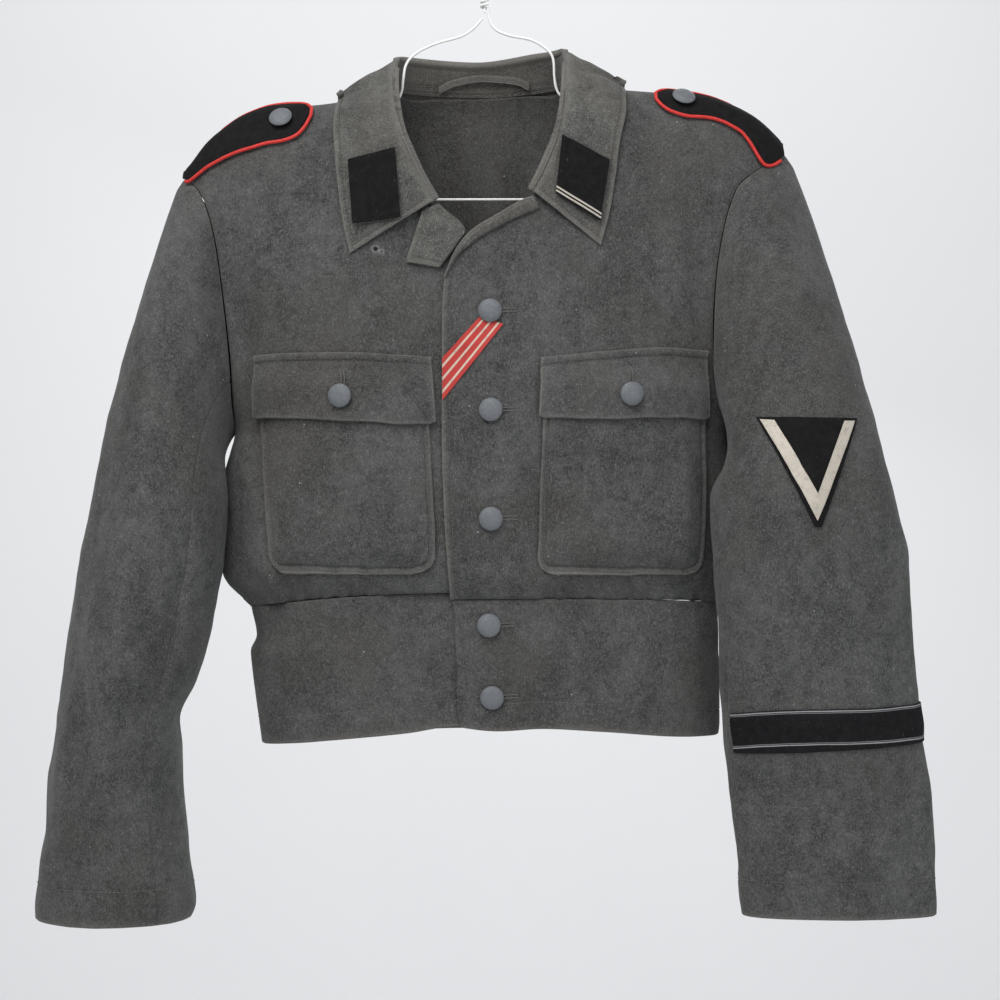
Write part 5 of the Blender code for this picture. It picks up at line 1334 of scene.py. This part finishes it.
path = Table(
    "t share place",
    (0, 0.04, 0.466), (0.3, 0.15, 0.48), (0.55, 0.22, 0.5), (0.8, 0.15, 0.522), (1, 0.05, 0.534),
)  # fmt: skip
t, s = np.linspace(0, 1, 60)[:, None], np.linspace(0, 0.1, 7)[None, :]
place, share = np.broadcast_arrays(path.at(t, "place"), path.at(t, "share") + s)
normals = surface_normals(collar_surface, place, share, np.array([0.0, -1.0, 0.0]))
grid = collar_surface(place, share) + normals * (COLLAR_CLOTH / 2 + 1.0 + 1.2)
loop = cloth_piece("neck_loop", grid, (0, -1, 0), collar_wool, 1.2)
stands_for(loop, "hang_loop")

# ---- The collar patches ----
# Two parallelograms of black cloth, edges turned under, sewn near the points of the collar. The
# wearer's left one has two pale rows of cord across its foot.


def find_on(surface, x, z, u, v):
    """The places (u, v) at which the surface shows at x and z from the front."""
    u, v = np.broadcast_to(u, np.shape(x)).astype(float), np.broadcast_to(v, np.shape(x)).astype(float)
    near = 0.003
    for _ in range(14):
        here = surface(u, v)
        du = (surface(u + near, v) - surface(u - near, v)) / (2 * near)
        dv = (surface(u, v + near) - surface(u, v - near)) / (2 * near)
        miss_x, miss_z = x - here[..., 0], z - here[..., 2]
        spread = du[..., 0] * dv[..., 2] - dv[..., 0] * du[..., 2]
        step_u = (miss_x * dv[..., 2] - miss_z * dv[..., 0]) / spread
        step_v = (miss_z * du[..., 0] - miss_x * du[..., 2]) / spread
        u, v = u + np.clip(step_u, -0.15, 0.15), v + np.clip(step_v, -0.15, 0.15)
    return u, v


def lay_on_found(surface, x, z, u, v, low):
    u, v = find_on(surface, x, z, u, v)
    normals = surface_normals(surface, u, v, np.array([0.0, -1.0, 0.0]))
    return surface(u, v) + normals * np.broadcast_to(low, u.shape)[..., None]


def quad_places(corners, down, along):
    """Places in x and z over a four-sided patch, from its corners in turn."""
    first, second, third, fourth = (np.array(corner, float) for corner in corners)
    t, s = down[:, None, None], along[None, :, None]
    places = (1 - t) * ((1 - s) * first + s * second) + t * ((1 - s) * fourth + s * third)
    return places[..., 0], places[..., 1]


def trim_finish(name, dark, light, gloss=0.85, cords=None):
    """A thin fine-woven trim cloth, a little dusty. cords, in metres of the piece's own cut, says
    where pale cords lie on it."""
    finish, shader, draw = new_finish(name, Roughness=gloss, Sheen_Weight=0.0, Specular_IOR_Level=0.12)
    place = draw.node("ShaderNodeTexCoord", output=3)
    weave = draw.noise(place, 1600.0, 2.0)
    dust = draw.noise(place, 160.0, 5.0, 0.7)
    base = draw.node("ShaderNodeRGB")
    base.socket.default_value = (*dark, 1)
    colour = base.mixed((weave * 0.5 + dust * 0.5).between(0.38, 0.66), (*light, 1))
    lint = draw.node("ShaderNodeMapping", {}, {"Vector": place, "Scale": (900.0, 900.0, 240.0)})
    colour = colour.mixed(draw.noise(lint, 1.0, 1.0).between(0.72, 0.80) * 0.22, (0.18, 0.17, 0.16, 1))
    worn = draw.node("ShaderNodeAttribute", {"attribute_name": "worn"}, output=2)
    colour = colour.mixed(worn * dust.between(0.3, 0.7) * 0.35, (*light, 1))
    if cords:
        cut = draw.node("ShaderNodeUVMap", {"uv_map": "cut"})
        parts = draw.node("ShaderNodeSeparateXYZ", {}, {0: cut}, 1)
        for low, high, shade in cords:
            within = parts.between(low - 0.0002, low + 0.0002) - parts.between(high - 0.0002, high + 0.0002)
            colour = colour.mixed(within * weave.between(0.15, 0.45), (*shade, 1))
    height = weave * 0.6 + dust * 0.5
    feed(
        shader, Base_Color=colour, Roughness=gloss - worn * 0.05,
        Normal=draw.node("ShaderNodeBump", {}, {"Height": height, "Distance": 0.0005, "Strength": 0.5}),
    )  # fmt: skip
    return finish


black_cloth = trim_finish("black_cloth", (0.0040, 0.0040, 0.0043), (0.0125, 0.0125, 0.013))
BRAID_SHADE = (0.50, 0.46, 0.40)
corded_black = trim_finish(
    "black_cloth_corded", (0.0040, 0.0040, 0.0043), (0.0125, 0.0125, 0.013),
    cords=((0.0019, 0.0033, BRAID_SHADE), (0.0049, 0.0063, BRAID_SHADE)),
)  # fmt: skip
TRIM_CLOTH = 1.2
for side, corners, start, finish in (
    ("right", ((-109, -197), (-71, -188), (-66.5, -244), (-105, -249)), 0.15, black_cloth),
    ("left", ((57, -225.5), (93, -247), (100.5, -197), (62.5, -178)), 0.85, corded_black),
):
    x, z = quad_places(corners, shares(58, 0.35, 1.3, 3), shares(40, 0.35, 1.3, 3))
    swell = 0.35 * uneven(x, z, 18, 65)
    grid = lay_on_found(collar_surface, x, z, start, 0.8, COLLAR_CLOTH / 2 + 0.5 + TRIM_CLOTH + swell)
    reach = reaches(grid)
    border = np.minimum.reduce(list(reach.values()))
    patch = cloth_piece(
        f"collar_patch_{side}_cloth", grid, (0, -1, 0), finish, TRIM_CLOTH + 0.6,
        groove(border, 1.6, 0.35, 0.6), np.exp(-border / 1.2),
    )  # fmt: skip
    stands_for(patch, f"collar_patch_{side}")

# ---- The mark on the left sleeve ----
# A triangle of black cloth, point down, with a V of pale woven braid 9 mm wide sewn on it.


def left_sleeve(u, v):
    return sleeve_surface("left", u * 100.0, v)


corners = ((214, -405), (293.5, -406), (263.0, -491), (258.0, -491))
x, z = quad_places(corners, shares(88, 0.5, 1.5, 4), shares(78, 0.5, 1.5, 4))
grid = lay_on_found(left_sleeve, x, z, 0.95, 0.4, 0.6 + TRIM_CLOTH)
border = np.minimum.reduce(list(reaches(grid).values()))
triangle = cloth_piece(
    "sleeve_triangle_cloth", grid, (0, -1, 0), black_cloth, TRIM_CLOTH,
    groove(border, 1.5, 0.35, 0.6), np.exp(-border / 1.2),
)  # fmt: skip
stands_for(triangle, "sleeve_triangle")

braid_finish, braid_shader, draw = new_finish("pale_braid", Roughness=0.62, Specular_IOR_Level=0.4)
cut = draw.node("ShaderNodeUVMap", {"uv_map": "cut"})
parts = draw.node("ShaderNodeSeparateXYZ", {}, {0: cut})
down_cut = draw.node("ShaderNodeSeparateXYZ", {}, {0: cut}, 1)
place = draw.node("ShaderNodeTexCoord", output=3)
slant = draw.math("ABSOLUTE", draw.math("SINE", (parts * 1.0 + down_cut * 1.0) * 2400.0))
ribs = draw.math("ABSOLUTE", draw.math("SINE", down_cut * 2200.0))
soil = draw.noise(place, 220.0, 4.0, 0.65)
tone = draw.node("ShaderNodeRGB")
tone.socket.default_value = (0.56, 0.51, 0.44, 1)
weave_tone = tone.mixed((slant * 0.5 + ribs * 0.3).between(0.05, 0.5) * -0.55 + 0.55, (0.20, 0.18, 0.15, 1))
feed(
    braid_shader,
    Base_Color=weave_tone.mixed(soil.between(0.48, 0.72) * 0.6, (0.30, 0.27, 0.23, 1)),
    Normal=draw.node(
        "ShaderNodeBump", {}, {"Height": slant * 0.6 + ribs * 0.4, "Distance": 0.0004, "Strength": 0.7}
    ),
)
braid = Table(
    "t x z in_x in_z",
    (0, 217, -407.5, 228, -408), (1, 259.5, -486, 259.5, -465), (2, 290, -408.5, 281, -408.5),
)  # fmt: skip
leg = shares(85, 0.7, 1.3, 3)
t = np.concatenate([leg, 1 + leg[1:]])[:, None]
s = shares(9, 0.4, 0.9, 2)[None, :]
ends = [np.interp(t, braid.column("t"), braid.column(name)) for name in ("x", "z", "in_x", "in_z")]
x, z = ends[0] + (ends[2] - ends[0]) * s, ends[1] + (ends[3] - ends[1]) * s
grid = lay_on_found(left_sleeve, x, z, 0.95, 0.4, 0.6 + 2 * TRIM_CLOTH + 0.5)
chevron = cloth_piece("sleeve_chevron_braid", grid, (0, -1, 0), braid_finish, TRIM_CLOTH)
stands_for(chevron, "sleeve_chevron")

# ---- The cuff band ----
# A 28 mm plain black woven band round the left sleeve above the cuff, with two pale lines near
# each edge.

band_black = trim_finish(
    "black_band", (0.0042, 0.0042, 0.0048), (0.014, 0.014, 0.015),
    cords=(
        (0.0009, 0.0017, (0.30, 0.30, 0.31)), (0.0024, 0.0029, (0.20, 0.20, 0.21)),
        (0.0277, 0.0285, (0.30, 0.30, 0.31)), (0.0265, 0.0270, (0.20, 0.20, 0.21)),
    ),
)  # fmt: skip
span = Table(
    "turn top bottom",
    (-24, -631, -661.5), (60, -633.5, -665.5), (110, -635, -669), (158, -640, -671.5),
)  # fmt: skip
turn = -24 + 182 * shares(190, 0.5, 1.7, 4)[None, :]
t = shares(31, 0.4, 1.0, 2)[:, None]
z = span.at(turn, "top") + (span.at(turn, "bottom") - span.at(turn, "top")) * t
free_z = FREE_Z + FREE_TILT * np.cos(np.radians(turn))
along = HEAD_SHARE + (1 - HEAD_SHARE) * (z - free_z) / (CUFF_Z["left"] - free_z)
turn, along = np.broadcast_arrays(turn, along)
base = left_sleeve(turn / 100.0, along)
normals = surface_normals(left_sleeve, turn / 100.0, along, sleeve_outward("left", turn))
swell = 0.3 * uneven(turn * 1.2, z, 20, 71)
grid = base + normals * (0.7 + TRIM_CLOTH + swell)[..., None]
worn = np.exp(-np.minimum(reaches(grid)["first_row"], reaches(grid)["last_row"]) / 1.0)
band = cloth_piece("cuff_band_cloth", grid, (0, -1, 0), band_black, TRIM_CLOTH + 0.2, worn=worn)
stands_for(band, "cuff_band")

# ---- The ribbon ----
# A short plain red ribbon with narrow cream lines, from the first buttonhole to the front edge.

ribbon_finish, ribbon_shader, draw = new_finish("red_ribbon", Roughness=0.55, Specular_IOR_Level=0.4)
cut = draw.node("ShaderNodeUVMap", {"uv_map": "share"})
across_cut = draw.node("ShaderNodeSeparateXYZ", {}, {0: cut})
down_cut = draw.node("ShaderNodeSeparateXYZ", {}, {0: cut}, 1)
place = draw.node("ShaderNodeTexCoord", output=3)
ribs = draw.math("ABSOLUTE", draw.math("SINE", down_cut * 260.0))
soil = draw.noise(place, 180.0, 4.0, 0.65)
tone = draw.node("ShaderNodeRGB")
tone.socket.default_value = (0.50, 0.042, 0.036, 1)
colour = tone.mixed(ribs * 0.3, (0.33, 0.020, 0.018, 1))
for low, high in ((0.16, 0.24), (0.46, 0.54), (0.76, 0.84)):
    line = across_cut.between(low - 0.008, low + 0.008) - across_cut.between(high - 0.008, high + 0.008)
    colour = colour.mixed(line * (1 - ribs * 0.25), (0.62, 0.56, 0.45, 1))
colour = colour.mixed(soil.between(0.5, 0.75) * 0.45, (0.16, 0.03, 0.026, 1))
feed(
    ribbon_shader, Base_Color=colour,
    Normal=draw.node("ShaderNodeBump", {}, {"Height": ribs, "Distance": 0.0003, "Strength": 0.6}),
)  # fmt: skip
corners = ((-3, -323.5), (15.5, -330), (-33, -391), (-33.2, -357))
rows, columns = shares(62, 0.4, 1.2, 3), shares(22, 0.35, 0.9, 2)
x, z = quad_places(corners, rows, columns)
creased = 0.5 * uneven(x, z, 14, 81) * np.sin(np.pi * rows[:, None])
grid = lay_on(left_front, x, z, 0.5 + 0.8 + creased)
ribbon = cloth_piece("ribbon_cloth", grid, (0, -1, 0), ribbon_finish, 0.8)
layer = ribbon.data.uv_layers.new(name="share")
corner_of = np.empty(len(ribbon.data.loops), np.int32)
ribbon.data.loops.foreach_get("vertex_index", corner_of)
both = np.stack(np.broadcast_arrays(columns[None, :], rows[:, None]), axis=-1).reshape(-1, 2)
layer.data.foreach_set("uv", np.concatenate([both, both])[corner_of].astype(np.float32).ravel())
stands_for(ribbon, "ribbon")

# ---- The shoulder straps ----
# Long black cloth straps from the sleeve seam to a button near the collar, edged with red cord.

STRAP_LIFT, STRAP_CLOTH, PIPING_WIDTH = 1.7, 2.4, 2.8
SHOULDER_STRAPS = {
    "right": Table(
        "x front_drop back_drop",
        (-247, 6, 5), (-241, 13, 4), (-226, 22, 1), (-209, 28, -1), (-188, 33, -2), (-166, 34, -2),
        (-154, 31, -3), (-147, 24, -5), (-143, 15, -9),
    ),
    "left": Table(
        "x front_drop back_drop",
        (142, 12, -7), (146, 17, -4), (153, 21, -2), (165, 23, -2), (178, 21, -2), (195, 19, -1),
        (209, 20, 0), (218, 26, 1), (228, 35, 1), (237, 25, 3), (245, 10, 4),
    ),
}  # fmt: skip


def shoulder_point(x, lean):
    """A place on the shoulder. lean is in radians: 0 on the ridge, rising to the front."""
    z_ridge = RIDGE.at(x, "z")
    z = z_ridge - np.where(lean > 0, REACH["front"], REACH["back"]) * (1 - np.cos(lean))
    depth = np.where(lean > 0, torso_depth(x, z, "front"), torso_depth(x, z, "back"))
    return points(x, -np.sign(lean) * depth, z)


def strap_lean(drop):
    reach = np.where(drop > 0, REACH["front"], REACH["back"])
    return np.sign(drop) * np.arccos(1 - np.abs(drop) / reach)


def strap_surface(x, lean):
    return shoulder_point(x * 100.0, lean)


def strap_layer(x, lean, lift):
    normals = surface_normals(strap_surface, x / 100.0, lean, np.array([0.0, -0.3, 1.0]))
    return strap_surface(x / 100.0, lean) + normals * np.broadcast_to(lift, np.shape(lean))[..., None]


red_finish, red_shader, draw = new_finish("red_cloth", Roughness=0.7)
place = draw.node("ShaderNodeTexCoord", output=3)
fuzz = draw.noise(place, 700.0, 3.0)
tone = draw.node("ShaderNodeRGB")
tone.socket.default_value = (0.60, 0.030, 0.022, 1)
feed(
    red_shader, Base_Color=tone.mixed(fuzz.between(0.4, 0.7), (0.42, 0.016, 0.013, 1)),
    Normal=draw.node("ShaderNodeBump", {}, {"Height": fuzz, "Distance": 0.0004, "Strength": 0.6}),
)  # fmt: skip
for side in ("right", "left"):
    outline = SHOULDER_STRAPS[side]
    first, last = outline.column("x")[[0, -1]]
    x = first + (last - first) * shares(104, 0.5, 1.5, 5)[:, None]
    front, back = strap_lean(outline.at(x, "front_drop")), strap_lean(-outline.at(x, "back_drop"))
    lean = back + (front - back) * shares(34, 0.6, 1.3, 4)[None, :]
    x = x + 0 * lean
    swell = 0.4 * uneven(x, lean * 60, 24, 91)
    grid = strap_layer(x, lean, STRAP_LIFT + STRAP_CLOTH + swell)
    border = np.minimum.reduce(list(reaches(grid).values()))
    strap = cloth_piece(
        f"shoulder_strap_{side}_cloth", grid, (0, -0.3, 1.0), black_cloth, STRAP_CLOTH,
        groove(border, 2.6, 0.5), np.exp(-border / 1.2),
    )  # fmt: skip
    stands_for(strap, f"shoulder_strap_{side}")

    # The cord follows the solid strap's own edge, which the cloth keeps.
    x = outline.column("x")
    x = np.sort(np.concatenate([x, (x[:-1] + x[1:]) / 2]))[:, None]
    front, back = strap_lean(outline.at(x, "front_drop")), strap_lean(-outline.at(x, "back_drop"))
    lean = back + (front - back) * np.linspace(0, 1, 6)[None, :]
    x = x + 0 * lean
    layers = [strap_layer(x, lean, STRAP_LIFT + STRAP_CLOTH), strap_layer(x, lean, STRAP_LIFT)]
    if side == "left":
        layers = [layer[::-1] for layer in layers]
    loops = [
        np.concatenate([layer[1:, -1], layer[-1, ::-1][1:-1], layer[:0:-1, 0]]) for layer in layers
    ]
    loop = (loops[0] + loops[1]) / 2
    out = unit(np.cross(np.gradient(loop, axis=0), loops[0] - loops[1]))
    if np.sum(out[0] * (loop[0] - layers[1].mean(axis=(0, 1)))) < 0:
        out = -out
    cord = cord_piece(
        f"strap_cord_{side}", through(loop + out * (PIPING_WIDTH / 2 + 0.5), 4), PIPING_WIDTH, red_finish, 3
    )
    stands_for(cord, f"strap_piping_{side}")

# ---- The buttons ----
# Nine domed 19 mm buttons pressed from sheet and painted blue-grey, the paint rubbed at the rim.
# Each is sewn on by its shank, and stands in a hole bound with thread where the cloth buttons.

enamel, enamel_shader, draw = new_finish("button_enamel", Roughness=0.5, Specular_IOR_Level=0.4)
place = draw.node("ShaderNodeTexCoord", output=3)
pitted = draw.noise(place, 650.0, 4.0, 0.65)
chipped = draw.noise(place, 260.0, 5.0, 0.7)
tone = draw.node("ShaderNodeRGB")
tone.socket.default_value = (0.130, 0.140, 0.152, 1)
colour = tone.mixed(chipped.between(0.40, 0.68) * 0.7, (0.088, 0.094, 0.104, 1))
chips = chipped.between(0.63, 0.67)
colour = colour.mixed(chips * 0.8, (0.30, 0.29, 0.28, 1))
feed(
    enamel_shader, Base_Color=colour, Roughness=0.42 + pitted * 0.25,
    Normal=draw.node(
        "ShaderNodeBump", {}, {"Height": pitted + chips * -0.4, "Distance": 0.0006, "Strength": 0.7}
    ),
)  # fmt: skip
profile = through(
    [
        (0.0, 4.4), (1.6, 4.37), (3.3, 4.22), (5.0, 3.97), (6.6, 3.5),
        (7.9, 2.85), (8.9, 2.15), (9.4, 1.55), (9.5, 1.1),
    ],
    3,
)
profile = np.concatenate([
    profile, [(9.25, 0.75), (8.6, 0.6), (3.2, 0.5), (3.0, 0.0), (3.0, -1.4), (0.0, -1.4)]
])
sides = 48
angle = np.linspace(0, 2 * np.pi, sides, endpoint=False)
button_places = np.stack(
    [
        np.outer(profile[:, 0], np.cos(angle)),
        np.outer(profile[:, 0], np.sin(angle)),
        np.outer(profile[:, 1], 1 + 0 * angle),
    ],
    axis=-1,
)
index = np.arange(len(profile) * sides).reshape(-1, sides)
turned = np.roll(index, -1, axis=1)
button_quads = np.stack([index[:-1], index[1:], turned[1:], turned[:-1]], axis=-1).reshape(-1, 4)

black_thread, thread_shader, draw = new_finish("pale_thread", Roughness=0.8)
tone = draw.node("ShaderNodeRGB")
tone.socket.default_value = (0.16, 0.155, 0.14, 1)
place = draw.node("ShaderNodeTexCoord", output=3)
feed(thread_shader, Base_Color=tone.mixed(draw.noise(place, 2200.0, 2.0), (0.08, 0.08, 0.072, 1)))

BUTTONS = {
    "button_front_1": (4.8, -319.2), "button_front_2": (5.6, -398.4), "button_front_3": (5.6, -484.8),
    "button_front_4": (4.0, -570.4), "button_front_5": (6.4, -628.0),
    "button_flap_right": (-112.0, -387.2), "button_flap_left": (115.2, -385.6),
    "button_strap_right": (-165.0, 18.0), "button_strap_left": (162.0, 11.0),
}  # fmt: skip
for node, (x, z) in BUTTONS.items():
    side = node.rsplit("_", 1)[1]
    if "strap" in node:
        lean = strap_lean(np.array([z]))
        x = np.array([x])
        foot, head = (strap_layer(x, lean, STRAP_LIFT + STRAP_CLOTH + low)[0] for low in (0.5, 1.9))
    else:
        surface, low = left_front, 0.5
        if "flap" in node:
            surface = left_front if side == "left" else right_front
            low = (flap_rise(side, np.array([x]), np.array([z])) + 2.3 + 0.5)[0]
        elif z < WAIST["left"].at(0, "z"):
            surface = band_left
        foot, head = (lay_on(surface, np.array([x]), np.array([z]), low + up)[0] for up in (0.0, 1.4))
    axis = unit(head - foot)
    off_axis = (0.0, 0.0, 1.0) if abs(axis[2]) < 0.8 else (1.0, 0.0, 0.0)
    first = unit(np.cross(np.array(off_axis), axis))
    frame_of = np.stack([first, np.cross(axis, first), axis])
    button = quad_mesh(node + "_cap", button_places.reshape(-1, 3) @ frame_of + head, button_quads, enamel)
    stands_for(button, node)
    if "strap" in node:
        continue
    # The buttonhole runs out from the button, level in the front and upright in a flap.
    t = np.linspace(0, 1, 14)
    if "flap" in node:
        hole_x, hole_z, low = x + 1.0 * np.sin(3 * t), z + 6.0 + 14.0 * t, low - 2.3 - 0.5 + 2.6 - 1.3
        rails = [(hole_x - 1.3, hole_z), (hole_x + 1.3, hole_z)]
    else:
        hole_x, hole_z, low = x + 6.0 + 14.5 * t, z + 0.8 * np.sin(2 * t), 0.25
        rails = [(hole_x, hole_z - 1.2), (hole_x, hole_z + 1.2)]
    lines = [lay_on(surface, rail_x + 0 * t, rail_z + 0 * t, low) for rail_x, rail_z in rails]
    bound = stitches(f"{node}_hole", [through(line, 3) for line in lines], black_thread, 0.95, 1.3, 0.95)
